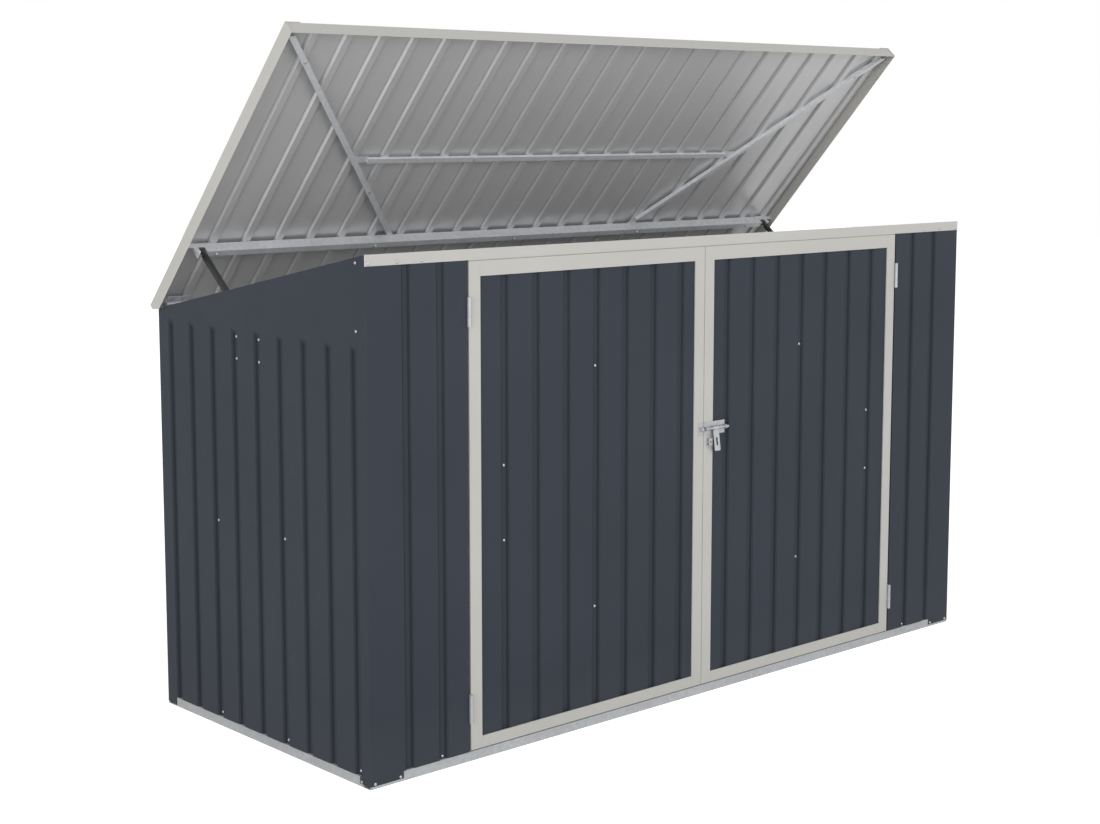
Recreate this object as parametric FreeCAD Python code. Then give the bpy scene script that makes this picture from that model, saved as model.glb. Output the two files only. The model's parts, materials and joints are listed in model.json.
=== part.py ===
import FreeCAD, Part
import math
import os

from FreeCAD import Rotation, Vector

# Wheelie bin store in folded and ribbed sheet steel, in millimetres.
# X runs along the front to the right, Y from the front to the rear, Z up.
# The origin is on the ground, at the middle of the four anchor holes and of the footprint.
# Lengths given "from the left" start at the outer face of the left wall.

# Overall size
width = 2350.0
depth = 950.0
front_height = 1313.0
rear_height = 1119.0

# Sheets and their pressed grooves
sheet = 0.8
groove_depth = 8.0
groove_mouth = 30.0
groove_floor = 14.0
side_groove_pitch = 104.8
side_groove_first = 48.6
gable_rise = 22.0
rear_groove_pitch = 106.6
rear_groove_margin = 70.0
front_groove_pitch = 107.2
corner_groove_first = 124.5
groove_edge_margin = 60.0

# Corner panels, walls and the flanges along their edges
front_panel_width = 315.0
rear_panel_width = 60.0
corner_wrap = 24.0
jamb_return = 30.0
foot_tab_front = 103.0
foot_tab_side = 43.0
foot_tab_bottom = 7.0
gable_flange = 15.0

# Base rails
rail_sheet = 1.5
rail_height = 25.0
rail_floor_width = 45.0
rail_upstand = 60.0
sill_stop_height = 15.0
anchor_radius = 5.5
anchor_inset = 36.0
anchor_spacing_x = 2000.0

# Inner posts and rails
post_sheet = 1.5
post_side_leg = 31.0
post_gable_leg = 45.0
post_front_leg = 80.0
post_rear_leg = 50.0
middle_post_width = 60.0
jamb_post_width = 40.0
inner_rail_height = 30.0
inner_rail_depth = 20.0
inner_rail_sheet = 1.2
mid_rail_height = 567.0
side_rail_width = 22.0
side_rail_rise = 3.0

# Lintel over the doors
lintel_height = 28.0
lintel_sheet = 1.2
lintel_stop_drop = 12.0
lintel_tab_top = 15.0

# Doors
door_hinge_gap = 6.0
door_edge_gap = 2.5
door_depth = 25.0
door_stop_gap = 2.0
frame_sheet = 1.2
stile_width = 37.0
top_rail_width = 39.0
bottom_rail_width = 31.0
frame_back_lip = 15.0
door_sheet_setback = 4.0
left_door_groove_first = 121.8
right_door_groove_first = 97.4
brace_width = 30.0
brace_start_rise = 24.0
brace_end_drop = 20.0
brace_hinge_inset = 13.0

# Door hinges
hinge_length = 75.0
hinge_low_bottom = 101.0
hinge_high_drop = 88.5
hinge_knuckle_radius = 4.7
hinge_pin_radius = 2.0
hinge_proud = 5.0
hinge_leaf_sheet = 1.8
hinge_leaf_depth = 22.0
pin_clearance = 0.05
knuckle_gap = 0.3
knuckle_sweep_gap = 0.5

# Slide bolt latch
latch_sheet = 1.5
latch_bottom = 750.0
latch_plate_height = 37.0
latch_plate_end = 84.0
bolt_radius = 4.0
bolt_height = 768.0
bolt_lift = 2.6
bolt_length = 94.0
bolt_travel = 21.0
bolt_guide_clearance = 0.3
guide_width = 6.0
collar_radius = 5.5
collar_width = 1.5
keeper_width = 21.0
handle_sheet = 2.0
handle_width = 22.8
handle_drop = 65.0
handle_lean = 8.0
handle_corner_radius = 4.0
handle_slot_width = 7.0
handle_slot_height = 22.0
staple_width = 13.0
staple_proud = 9.7
staple_hole_radius = 3.5
staple_bottom = 711.0
staple_height = 38.0
staple_foot = 9.0

# Lid, measured from its rear edge (run) and from its top face down (drop)
lid_run = 1006.9
lid_overhang = 9.9
lid_tilt_at_rest = 47.6
lid_trim_sheet = 1.2
lid_trim_depth = 39.0
lid_trim_flange = 45.0
lid_rear_trim_depth = 16.0
lid_trim_chamfer = 24.0
lid_front_setback = 1.8
lid_groove_first = 97.4
lid_groove_pitch = 106.6
lid_groove_margin = 30.0
lid_lap_grooves = (5, 11, 17)
lid_lap_offset = 29.5
beam_run = 237.0
beam_width = 20.0
beam_depth = 30.0
beam_sheet = 1.5
beam_flange = 15.0
beam_end_inset = 54.0
beam_tie_drop = 33.0
strap_width = 16.0
strap_depth = 12.0
strap_sheet = 1.2
strap_corner_run = 980.0
strap_front_inset = 11.0
strap_rear_inset = 686.0
strap_foot_length = 25.0
strap_foot_lap = 12.0
strap_gap = 0.5
strap_hole_radius = 2.5
strap_hole_run = 605.0
crossbar_run = 550.0
crossbar_width = 17.0
crossbar_depth = 8.0
crossbar_end_width = 22.0
crossbar_end_length = 35.0

# Lid hinges, their axis placed on the lid by run and drop, on the walls by y and z
lid_hinge_run = 22.0
lid_hinge_drop = 20.0
lid_hinge_inset = 2.0
lid_hinge_rise = 9.2
lid_hinge_width = 65.0
lid_hinge_edge = 24.0
lid_knuckle_radius = 5.0
lid_pin_radius = 2.5
lid_leaf_sheet = 2.0
lid_leaf_run = 42.0
wall_leaf_drop = 60.0
leaf_hole_radius = 4.0
leaf_hole_inset = 16.25
wall_leaf_hole_rise = 18.0
wall_leaf_screw_rise = 36.0
lid_leaf_screw_run = 33.0

# Gas struts
strut_plane = 42.0
strut_top_run = 242.7
strut_top_drop = 36.5
strut_low_from_front = 510.0
strut_low_drop = 86.2
strut_pin_radius = 4.0
strut_eye_radius = 8.0
strut_eye_width = 10.0
strut_eye_neck = 16.0
strut_neck_radius = 4.6
barrel_radius = 9.0
barrel_bore_radius = 7.5
barrel_length = 205.0
barrel_end = 6.0
barrel_guide = 12.0
rod_radius = 4.0
piston_clearance = 0.4
rod_clearance = 0.3
piston_length = 10.0
lid_bracket_sheet = 2.0
lid_bracket_gap = 4.5
lid_bracket_reach = 75.0
lid_bracket_depth = 15.0
lid_bracket_edge = 18.0
lid_bracket_ear = 18.0
lid_bracket_nose = 9.0
pin_head_radius = 7.0
pin_head_length = 3.5
wall_bracket_width = 125.0
wall_bracket_height = 84.0
wall_bracket_sheet = 2.0
stud_gap = 0.3

# Screws
screw_head_radius = 4.0
screw_head_height = 2.2
screw_shank_radius = 1.9
screw_hole_clearance = 0.1
screw_length = 12.0
screw_low_height = 36.0
foot_screw_height = 12.5
foot_screw_corner = 14.4
foot_screw_inner = 92.4
foot_screw_side = 35.0
panel_screw_height = 32.0
gable_screw_side = 36.0
gable_screw_rise = 31.0
tab_screw_rise = 7.0
lintel_screw_rise = 6.5
lintel_screw_corner = 12.0
lintel_screw_middle = 97.0
lintel_screw_inner = 173.0
bracket_screw_reach = 29.0
screw_tip = 2.0

# Worked out from the above
left = -width / 2
right = width / 2
front = -depth / 2
rear = depth / 2
roof_fall = (front_height - rear_height) / depth
roof_slope = math.degrees(math.atan(roof_fall))
wall_inside = groove_depth + sheet
lintel_bottom = front_height - lintel_height
side_groove_top = rear_height - gable_rise
panel_edge = left + front_panel_width
door_bottom = rail_height + door_edge_gap
door_top = lintel_bottom - door_edge_gap
door_edge = panel_edge + door_hinge_gap
door_width = -door_edge_gap / 2 - door_edge
stop_plane = front + door_depth + door_stop_gap
hinge_high_bottom = door_top - hinge_high_drop - hinge_length
hinge_x = panel_edge + door_hinge_gap / 2
hinge_y = front - hinge_proud
lid_hinge_y = rear - lid_hinge_inset
lid_hinge_z = rear_height + lid_hinge_rise
strut_low_height = lid_hinge_z - strut_low_drop
lid_left = left - lid_overhang
lid_width = width + 2 * lid_overhang
lid_sheet_drop = 2 * lid_trim_sheet
crest_drop = lid_sheet_drop + wall_inside
strap_face = crest_drop + strap_depth
crossbar_face = crest_drop + crossbar_depth

os.makedirs("parts", exist_ok=True)
nodes = {}


def save(name, solids):
    """Keep one sub-part under its node name."""
    solids = solids if isinstance(solids, list) else [solids]
    nodes[name] = solids


def extruded(points, direction):
    """A closed polygon pushed along a straight direction."""
    corners = [Vector(*point) for point in points]
    wire = Part.makePolygon(corners + [corners[0]])
    return Part.Face(wire).extrude(Vector(*direction))


def upright(plan, bottom, top):
    """A plan outline of x and y pairs, raised from bottom to top."""
    return extruded([(x, y, bottom) for x, y in plan], (0, 0, top - bottom))


def along_x(section, start, end):
    """A section of y and z pairs, run from x start to x end."""
    return extruded([(start, y, z) for y, z in section], (end - start, 0, 0))


def along_y(section, start, end):
    """A section of x and z pairs, run from y start to y end."""
    return extruded([(x, start, z) for x, z in section], (0, end - start, 0))


def block(low, high):
    """A box between two corners."""
    size = [high[i] - low[i] for i in range(3)]
    return Part.makeBox(*size, Vector(*low))


def rod(start, direction, length, radius):
    """A round bar from a point along a direction."""
    return Part.makeCylinder(radius, length, Vector(*start), Vector(*direction))


def joined(pieces):
    """One solid out of pieces that touch or overlap."""
    return pieces[0].fuse(pieces[1:]).removeSplitter().Solids[0]


def less(body, cutters):
    """A body with every cutter taken away."""
    return body.cut(cutters).Solids[0]


def mirrored(shape):
    """The same piece on the other side of the middle plane."""
    return shape.mirror(Vector(0, 0, 0), Vector(1, 0, 0))


def on_both_sides(shapes):
    """A list of pieces with their mirror images."""
    return shapes + [mirrored(shape) for shape in shapes]


def roof_height(y):
    """Height of the walls' sloping top edge at a place along the depth."""
    return front_height - roof_fall * (y - front)


def groove_places(first, pitch, end):
    """Groove centres from the first one, a pitch apart, up to the end."""
    count = int((end - first) // pitch) + 1
    return [first + pitch * i for i in range(count)]


def centred_grooves(length, pitch, margin):
    """Groove centres a pitch apart that fill a length evenly."""
    count = int((length - 2 * margin) // pitch) + 1
    start = (length - pitch * (count - 1)) / 2
    return [start + pitch * i for i in range(count)]


def ribbed_lines(grooves):
    """Outer and inner line of a grooved sheet as pairs of along and inwards."""
    flank = math.atan2(groove_depth, (groove_mouth - groove_floor) / 2)
    shift = sheet * math.tan(flank / 2)
    outer = []
    inner = []
    for centre in grooves:
        mouth = groove_mouth / 2
        floor = groove_floor / 2
        outer += [(centre - mouth, 0), (centre - floor, groove_depth)]
        outer += [(centre + floor, groove_depth), (centre + mouth, 0)]
        inner += [(centre - mouth - shift, sheet), (centre - floor - shift, wall_inside)]
        inner += [(centre + floor + shift, wall_inside), (centre + mouth + shift, sheet)]
    return outer, inner


def ribbed_section(start, end, grooves):
    """Closed outline of a grooved sheet from start to end."""
    outer, inner = ribbed_lines(grooves)
    return [(start, 0)] + outer + [(end, 0), (end, sheet)] + inner[::-1] + [(start, sheet)]


# Screws: every one is a place, the direction it is driven in, and its length.

def screw(place, drive, length=screw_length):
    """A pan head screw, its head on the near side of the place."""
    axis = Vector(*drive)
    head = rod(Vector(*place) - axis * screw_head_height, axis, screw_head_height, screw_head_radius)
    outer = Vector(*place) - axis * screw_head_height
    rim = [edge for edge in head.Edges if edge.Closed and edge.CenterOfMass.isEqual(outer, 0.01)]
    head = head.makeFillet(screw_head_height * 0.6, rim)
    return joined([head, rod(place, axis, length, screw_shank_radius)])


def drilled(body, screws):
    """A body with a clearance hole for each screw in a list."""
    radius = screw_shank_radius + screw_hole_clearance
    drills = []
    for place, drive, length in screws:
        start = Vector(*place) - Vector(*drive)
        drills.append(rod(start, drive, length + 2, radius))
    return less(body, drills) if drills else body


def mirror_screws(screws):
    """The same screws on the other side of the middle plane."""
    return [((-p[0], p[1], p[2]), (-d[0], d[1], d[2]), length) for p, d, length in screws]


side_grooves = groove_places(side_groove_first, side_groove_pitch, depth - groove_edge_margin)
left_floor_x = left + groove_depth
rear_floor_y = rear - groove_depth

short = screw_length / 2
foot_screws = [((left + foot_screw_corner, front, foot_screw_height), (0, 1, 0), short),
               ((left + foot_screw_inner, front, foot_screw_height), (0, 1, 0), short),
               ((left, front + foot_screw_side, foot_screw_height), (1, 0, 0), short)]
panel_screw = [((left + corner_groove_first + front_groove_pitch, front + groove_depth, panel_screw_height),
                (0, 1, 0), short)]
gable_screws = [((left, front + gable_screw_side, side_groove_top + gable_screw_rise), (1, 0, 0), short),
                ((left, front + gable_screw_side, lintel_bottom + tab_screw_rise), (1, 0, 0), short)]
lintel_screws = [((left + inset, front, lintel_bottom + lintel_screw_rise), (0, 1, 0), short)
                 for inset in (lintel_screw_corner, lintel_screw_middle, lintel_screw_inner)]
wall_low_screws = [((left_floor_x, front + place, screw_low_height), (1, 0, 0), short)
                   for place in side_grooves[::3]]
wall_mid_screws = [((left_floor_x, front + place, mid_rail_height), (1, 0, 0), short)
                   for place in side_grooves[3::3]]
strut_screws = [((left_floor_x, front + side_grooves[k], strut_low_height + side), (1, 0, 0), short)
                for k in (4, 5) for side in (-bracket_screw_reach, bracket_screw_reach)]
side_wall_screws = wall_low_screws + wall_mid_screws + strut_screws

rear_sheet_width = width / 2 - rear_panel_width
rear_grooves = centred_grooves(rear_sheet_width, rear_groove_pitch, rear_groove_margin)
rear_screws = [((left + rear_panel_width + place, rear_floor_y, height), (0, -1, 0), short)
               for height in (screw_low_height, mid_rail_height, rear_height - inner_rail_height / 2)
               for place in rear_grooves[1::3]]
rear_screws += mirror_screws(rear_screws)
lid_hinge_starts = [left + lid_hinge_edge, -lid_hinge_width / 2, right - lid_hinge_edge - lid_hinge_width]
leaf_places = [start + inset for start in lid_hinge_starts
               for inset in (leaf_hole_inset, lid_hinge_width - leaf_hole_inset)]
wall_leaf_bottom = lid_hinge_z - wall_leaf_drop
wall_leaf_screws = [((x, rear + lid_leaf_sheet, wall_leaf_bottom + wall_leaf_screw_rise), (0, -1, 0),
                     screw_length) for x in leaf_places]
all_rear_screws = rear_screws + wall_leaf_screws


# Base rails

def front_base_rail():
    """Sill under the doors with a floor flange, upstands and a door stop."""
    outer = front + sheet
    shelf = stop_plane + rail_sheet
    section = [(outer, 0), (front + rail_floor_width, 0), (front + rail_floor_width, rail_sheet),
               (outer + rail_sheet, rail_sheet), (outer + rail_sheet, rail_height - rail_sheet),
               (shelf, rail_height - rail_sheet), (shelf, rail_height), (outer, rail_height)]
    rail = along_x(section, left + sheet, right - sheet)
    stop = block((panel_edge + 2, stop_plane, rail_height - rail_sheet),
                 (-panel_edge - 2, shelf, rail_height + sill_stop_height))
    backing = block((left + post_front_leg + 2, front + wall_inside, rail_height - rail_sheet),
                    (panel_edge - jamb_post_width - 5, front + wall_inside + rail_sheet, rail_upstand))
    rail = joined([rail, stop, backing, mirrored(backing)])
    return less(rail, anchor_drills(front + anchor_inset))


def rear_base_rail():
    """The front rail's opposite, with one long upstand behind the grooves."""
    outer = rear - sheet
    inner = rear - wall_inside
    section = [(outer, 0), (rear - rail_floor_width, 0), (rear - rail_floor_width, rail_sheet),
               (outer - rail_sheet, rail_sheet), (outer - rail_sheet, rail_height - rail_sheet),
               (inner - rail_sheet, rail_height - rail_sheet), (inner - rail_sheet, rail_height),
               (outer, rail_height)]
    rail = along_x(section, left + sheet, right - sheet)
    upstand = block((left + post_rear_leg, inner - rail_sheet, rail_height - rail_sheet),
                    (right - post_rear_leg, inner, rail_upstand))
    return less(joined([rail, upstand]), anchor_drills(rear - anchor_inset))


def anchor_drills(y):
    """The two ground anchor holes of a rail."""
    return [rod((x, y, -1), (0, 0, 1), rail_sheet + 2, anchor_radius)
            for x in (-anchor_spacing_x / 2, anchor_spacing_x / 2)]


def side_base_rail():
    """Left rail between the front and rear rails, with a tongue for the foot screw."""
    outer = left + sheet
    inner = left + wall_inside
    section = [(outer, 0), (left + rail_floor_width, 0), (left + rail_floor_width, rail_sheet),
               (outer + rail_sheet, rail_sheet), (outer + rail_sheet, rail_height - rail_sheet),
               (inner + rail_sheet, rail_height - rail_sheet), (inner + rail_sheet, rail_upstand),
               (inner, rail_upstand), (inner, rail_height), (outer, rail_height)]
    start = front + rail_floor_width
    end = rear - rail_floor_width
    rail = along_y(section, start, end)
    tongue_start = stop_plane + rail_sheet + 0.5
    tongue = block((outer, tongue_start, rail_sheet), (outer + rail_sheet, start, rail_height - rail_sheet))
    return joined([rail, tongue])


save("base_rail_front", drilled(front_base_rail(), foot_screws[:2] + mirror_screws(foot_screws[:2])
                                + panel_screw + mirror_screws(panel_screw)))
save("base_rail_rear", drilled(rear_base_rail(), rear_screws))
left_base_rail = drilled(side_base_rail(), foot_screws[2:] + wall_low_screws)
save("base_rail_left", left_base_rail)
save("base_rail_right", mirrored(left_base_rail))


# Corner panels

def foot_tab(y, towards):
    """The panel's apron over the base rail, round the corner."""
    plan = [(left, y + towards * foot_tab_side), (left, y), (left + foot_tab_front, y),
            (left + foot_tab_front, y + towards * sheet), (left + sheet, y + towards * sheet),
            (left + sheet, y + towards * foot_tab_side)]
    return upright(plan, foot_tab_bottom, rail_height)


def front_corner_panel():
    """Grooved front panel folded round the corner and back into the door jamb."""
    grooves = groove_places(corner_groove_first, front_groove_pitch, front_panel_width - groove_edge_margin)
    outer, inner = ribbed_lines(grooves)
    edge = front_panel_width
    outline = [(0, corner_wrap), (0, 0)] + outer + [(edge, 0), (edge, jamb_return)]
    outline += [(edge - sheet, jamb_return), (edge - sheet, sheet)] + inner[::-1]
    outline += [(sheet, sheet), (sheet, corner_wrap)]
    plan = [(left + x, front + y) for x, y in outline]
    panel = upright(plan, rail_height, lintel_bottom)
    return joined([panel, foot_tab(front, 1)])


def rear_corner_panel():
    """Plain folded corner at the rear."""
    plan = [(left, rear - corner_wrap), (left, rear), (left + rear_panel_width, rear),
            (left + rear_panel_width, rear - sheet), (left + sheet, rear - sheet),
            (left + sheet, rear - corner_wrap)]
    panel = upright(plan, rail_height, rear_height)
    return joined([panel, foot_tab(rear, -1)])


left_front_panel = drilled(front_corner_panel(), foot_screws + panel_screw)
save("front_corner_panel_left", left_front_panel)
save("front_corner_panel_right", mirrored(left_front_panel))
save("rear_corner_panels", on_both_sides([drilled(rear_corner_panel(), wall_leaf_screws)]))


# Side walls

def side_wall():
    """Grooved wall with a flat gable above it and a flange along the sloping edge."""
    start = front + corner_wrap
    end = rear - corner_wrap
    section = ribbed_section(corner_wrap, depth - corner_wrap, side_grooves)
    plan = [(left + inwards, front + along) for along, inwards in section]
    pieces = [upright(plan, rail_height, side_groove_top)]
    gable = [(start, side_groove_top), (end, side_groove_top), (end, roof_height(end)),
             (front, front_height), (front, lintel_bottom), (start, lintel_bottom)]
    pieces.append(along_x(gable, left, left + sheet))
    flange = [(start, roof_height(start)), (end, roof_height(end)),
              (end, roof_height(end) - sheet), (start, roof_height(start) - sheet)]
    pieces.append(along_x(flange, left, left + gable_flange))
    for centre in side_grooves:
        outer, inner = ribbed_lines([centre])
        cap = [(left, front + inner[0][0])] + [(left + i, front + a) for a, i in inner]
        cap.append((left, front + inner[-1][0]))
        pieces.append(upright(cap, side_groove_top, side_groove_top + sheet))
    return joined(pieces)


left_side_wall = drilled(side_wall(), side_wall_screws + gable_screws)
save("side_wall_left", left_side_wall)
save("side_wall_right", mirrored(left_side_wall))


# Rear wall: two grooved sheets that meet on the middle post

def rear_wall():
    """Left grooved sheet of the rear wall."""
    section = ribbed_section(0, rear_sheet_width, rear_grooves)
    plan = [(left + rear_panel_width + along, rear - inwards) for along, inwards in section]
    return upright(plan, rail_height, rear_height)


left_rear_wall = drilled(rear_wall(), all_rear_screws)
save("rear_wall_left", left_rear_wall)
save("rear_wall_right", mirrored(left_rear_wall))


# Lintel, inner posts and inner rails

def lintel():
    """Front top rail: face, sloping top flange, bottom flange, door stop, and ends inside the gables."""
    t = lintel_sheet
    y0 = front
    inner = stop_plane + t
    section = [(y0, lintel_bottom), (y0, front_height), (y0 + corner_wrap, roof_height(y0 + corner_wrap)),
               (y0 + corner_wrap, roof_height(y0 + corner_wrap) - t), (y0 + t, roof_height(y0 + t) - t),
               (y0 + t, lintel_bottom + t), (inner, lintel_bottom + t), (inner, lintel_bottom)]
    face = along_x(section, left + sheet, right - sheet)
    stop = block((panel_edge + 2, stop_plane, lintel_bottom - lintel_stop_drop),
                 (-panel_edge - 2, inner, lintel_bottom + t))
    end_section = [(y0, lintel_bottom), (y0, front_height),
                   (y0 + corner_wrap, roof_height(y0 + corner_wrap)), (y0 + corner_wrap, lintel_bottom)]
    end = along_x(end_section, left + sheet, left + sheet + t)
    tab = block((left + sheet, y0 + corner_wrap - t, lintel_bottom + t / 2),
                (left + sheet + t, y0 + post_gable_leg, lintel_bottom + lintel_tab_top))
    return joined([face, stop, end, tab, mirrored(end), mirrored(tab)])


def front_corner_post():
    """Folded angle inside the front corner, wider behind the gable."""
    a = sheet
    b = sheet + post_sheet
    plan = [(a, a), (post_front_leg, a), (post_front_leg, b), (b, b), (b, post_side_leg), (a, post_side_leg)]
    post = upright([(left + x, front + y) for x, y in plan], rail_height, lintel_bottom)
    head = block((left + a, front + a, side_groove_top + side_rail_rise),
                 (left + b, front + post_gable_leg, lintel_bottom))
    return joined([post, head])


def rear_corner_post():
    """Folded angle inside the rear corner."""
    a = sheet
    b = sheet + post_sheet
    plan = [(a, a), (post_rear_leg, a), (post_rear_leg, b), (b, b), (b, post_side_leg), (a, post_side_leg)]
    return upright([(left + x, rear - y) for x, y in plan], rail_height, rear_height)


def rear_middle_post():
    """Hat section that carries the joint of the two rear sheets."""
    half = middle_post_width / 2
    t = inner_rail_sheet
    back = rear - wall_inside
    face = rear - sheet
    plan = [(-half, face), (-half, back), (half, back), (half, face), (half - t, face),
            (half - t, back + t), (-half + t, back + t), (-half + t, face)]
    return upright(plan, rail_height, rear_height)


def jamb_post():
    """Folded channel behind the jamb that the door hinges pull on."""
    t = inner_rail_sheet
    edge = panel_edge - sheet
    back = front + jamb_return
    near = front + groove_depth
    plan = [(edge, front + 2), (edge, back), (edge - jamb_post_width, back), (edge - jamb_post_width, near),
            (edge - jamb_post_width + t, near), (edge - jamb_post_width + t, back - t),
            (edge - t, back - t), (edge - t, front + 2)]
    return upright(plan, rail_height, lintel_bottom)


def channel_section(web, inwards, low, high):
    """C section of a rail: its web face, the way its flanges point, and its heights."""
    t = inner_rail_sheet
    tip = web + inwards * inner_rail_depth
    return [(web, low), (web, high), (tip, high), (tip, high - t), (web + inwards * t, high - t),
            (web + inwards * t, low + t), (tip, low + t), (tip, low)]


def side_mid_rail():
    """Left inner rail across the grooves' backs, from front post to rear post."""
    half = inner_rail_height / 2
    section = channel_section(left + wall_inside, 1, mid_rail_height - half, mid_rail_height + half)
    clear = sheet + post_sheet
    return along_y(section, front + clear, rear - clear)


def rear_mid_rail():
    """Rear inner rail between the two side ones."""
    half = inner_rail_height / 2
    section = channel_section(rear - wall_inside, -1, mid_rail_height - half, mid_rail_height + half)
    clear = wall_inside + inner_rail_depth
    return along_x(section, left + clear, right - clear)


def rear_top_rail():
    """Rail along the top of the rear wall, between the corner posts."""
    section = channel_section(rear - wall_inside, -1, rear_height - inner_rail_height, rear_height)
    clear = sheet + post_sheet
    return along_x(section, left + clear, right - clear)


def side_top_rail():
    """Left rail behind the foot of the gable."""
    low = side_groove_top + side_rail_rise
    section = channel_section(left + sheet, 1, low, low + side_rail_width)
    return along_y(section, front + post_gable_leg, rear - sheet - post_side_leg)


all_lintel_screws = lintel_screws + mirror_screws(lintel_screws)
tab_screws = gable_screws[1:] + mirror_screws(gable_screws[1:])
save("lintel", drilled(lintel(), all_lintel_screws + tab_screws))
save("front_corner_posts", on_both_sides([drilled(front_corner_post(), gable_screws[:1])]))
save("rear_corner_posts", on_both_sides([drilled(rear_corner_post(), wall_leaf_screws)]))
save("rear_middle_post", drilled(rear_middle_post(), wall_leaf_screws))
save("jamb_posts", on_both_sides([jamb_post()]))
save("mid_rails", on_both_sides([drilled(side_mid_rail(), wall_mid_screws)])
     + [drilled(rear_mid_rail(), all_rear_screws)])
save("rear_top_rail", drilled(rear_top_rail(), all_rear_screws))
save("side_top_rails", on_both_sides([side_top_rail()]))

left_wall_screws = foot_screws + panel_screw + gable_screws + lintel_screws + side_wall_screws
wall_screws = left_wall_screws + mirror_screws(left_wall_screws) + all_rear_screws
save("wall_screws", [screw(*s) for s in wall_screws])


# Door hinges, left side; the right ones are their mirror images

def hinge_knuckles(bottom, own):
    """Knuckles of one leaf: the frame's are the outer two, the door's the middle one."""
    third = hinge_length / 3
    spans = [(0, third - knuckle_gap), (2 * third + knuckle_gap, hinge_length)]
    if own == "door":
        spans = [(third, 2 * third)]
    return [rod((hinge_x, hinge_y, bottom + low), (0, 0, 1), high - low, hinge_knuckle_radius)
            for low, high in spans]


def hinge_leaf(bottom, own):
    """A leaf in the gap between jamb and door, with its knuckles."""
    side = -1 if own == "frame" else 1
    outer = hinge_x + side * door_hinge_gap / 2
    inner = outer - side * hinge_leaf_sheet
    plate = block((min(outer, inner), hinge_y, bottom),
                  (max(outer, inner), front + hinge_leaf_depth, bottom + hinge_length))
    third = hinge_length / 3
    spans = [(third - knuckle_gap, 2 * third + knuckle_gap)]
    if own == "door":
        spans = [(-1, third), (2 * third, hinge_length + 1)]
    sweeps = [rod((hinge_x, hinge_y, bottom + low), (0, 0, 1), high - low,
                  hinge_knuckle_radius + knuckle_sweep_gap) for low, high in spans]
    leaf = joined([less(plate, sweeps)] + hinge_knuckles(bottom, own))
    bore = rod((hinge_x, hinge_y, bottom - 1), (0, 0, 1), hinge_length + 2, hinge_pin_radius + pin_clearance)
    return less(leaf, [bore])


hinge_bottoms = (hinge_low_bottom, hinge_high_bottom)
frame_leaves = [hinge_leaf(bottom, "frame") for bottom in hinge_bottoms]
door_leaves = [hinge_leaf(bottom, "door") for bottom in hinge_bottoms]
door_pins = [rod((hinge_x, hinge_y, bottom), (0, 0, 1), hinge_length, hinge_pin_radius)
             for bottom in hinge_bottoms]
save("door_hinge_frame_leaves", on_both_sides(frame_leaves))
save("door_hinge_pins", on_both_sides(door_pins))


# Doors, made as a left one in place; the right one swaps side but keeps its own grooves

def frame_section(outer, inwards, width_of_face):
    """Folded door frame member as pairs of across and depth from the front face."""
    t = frame_sheet
    points = [(0, 0), (width_of_face, 0), (width_of_face, door_sheet_setback),
              (width_of_face - t, door_sheet_setback), (width_of_face - t, t), (t, t),
              (t, door_depth - t), (frame_back_lip, door_depth - t), (frame_back_lip, door_depth),
              (0, door_depth)]
    return [(outer + inwards * across, front + back) for across, back in points]


def door_stile(outer, inwards):
    """Upright frame member over the door's whole height."""
    return upright(frame_section(outer, inwards, stile_width), door_bottom, door_top)


def door_rail(outer, inwards, face):
    """Level frame member between the stiles."""
    section = [(y, z) for z, y in frame_section(outer, inwards, face)]
    return along_x(section, door_edge + stile_width, door_edge + door_width - stile_width)


def door_sheet(grooves):
    """Grooved sheet set back behind the frame's faces."""
    section = ribbed_section(frame_sheet, door_width - frame_sheet, grooves)
    face = front + door_sheet_setback
    plan = [(door_edge + along, face + inwards) for along, inwards in section]
    return upright(plan, door_bottom + frame_sheet, door_top - frame_sheet)


brace_front = front + door_sheet_setback + wall_inside
brace_back = front + door_depth - frame_sheet
door_middle = (door_bottom + door_top) / 2


def brace_height(place, upper):
    """Height of a brace's middle line at a distance from the hinge edge."""
    start = stile_width / 2
    end = door_width - stile_width / 2
    share = (place - start) / (end - start)
    rise = brace_start_rise + share * (door_top - brace_end_drop - door_middle - brace_start_rise)
    return door_middle + rise if upper else door_middle - rise


def door_brace(upper):
    """Channel from the middle of the hinge stile to a corner on the latch side."""
    t = frame_sheet
    low = Vector(door_edge, 0, brace_height(0, upper))
    high = Vector(door_edge + door_width, 0, brace_height(door_width, upper))
    run = high - low
    across = Vector(0, 1, 0).cross(run).normalize() * (brace_width / 2)
    wall = across * (2 * t / brace_width)

    def strip(first, second, y_low, y_high):
        corners = [low + first, high + first, high + second, low + second]
        return extruded([(c.x, y_low, c.z) for c in corners], (0, y_high - y_low, 0))

    web = strip(-across, across, brace_front, brace_front + t)
    flanges = [strip(across, across - wall, brace_front, brace_back),
               strip(-across, wall - across, brace_front, brace_back)]
    brace = joined([web] + flanges)
    room = block((door_edge + brace_hinge_inset, front, door_bottom + frame_sheet),
                 (door_edge + door_width - frame_sheet, front + door_depth, door_top - frame_sheet))
    return brace.common(room).Solids[0]


def door_screw_places(grooves):
    """Two screws a brace, in the groove by the hinge stile and in one near the middle."""
    near = min(grooves)
    middle = sorted(grooves)[3]
    floor = front + door_sheet_setback + groove_depth
    return [((door_edge + place, floor, brace_height(place, upper)), (0, 1, 0), screw_length / 2)
            for place in (near, middle) for upper in (True, False)]


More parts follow.
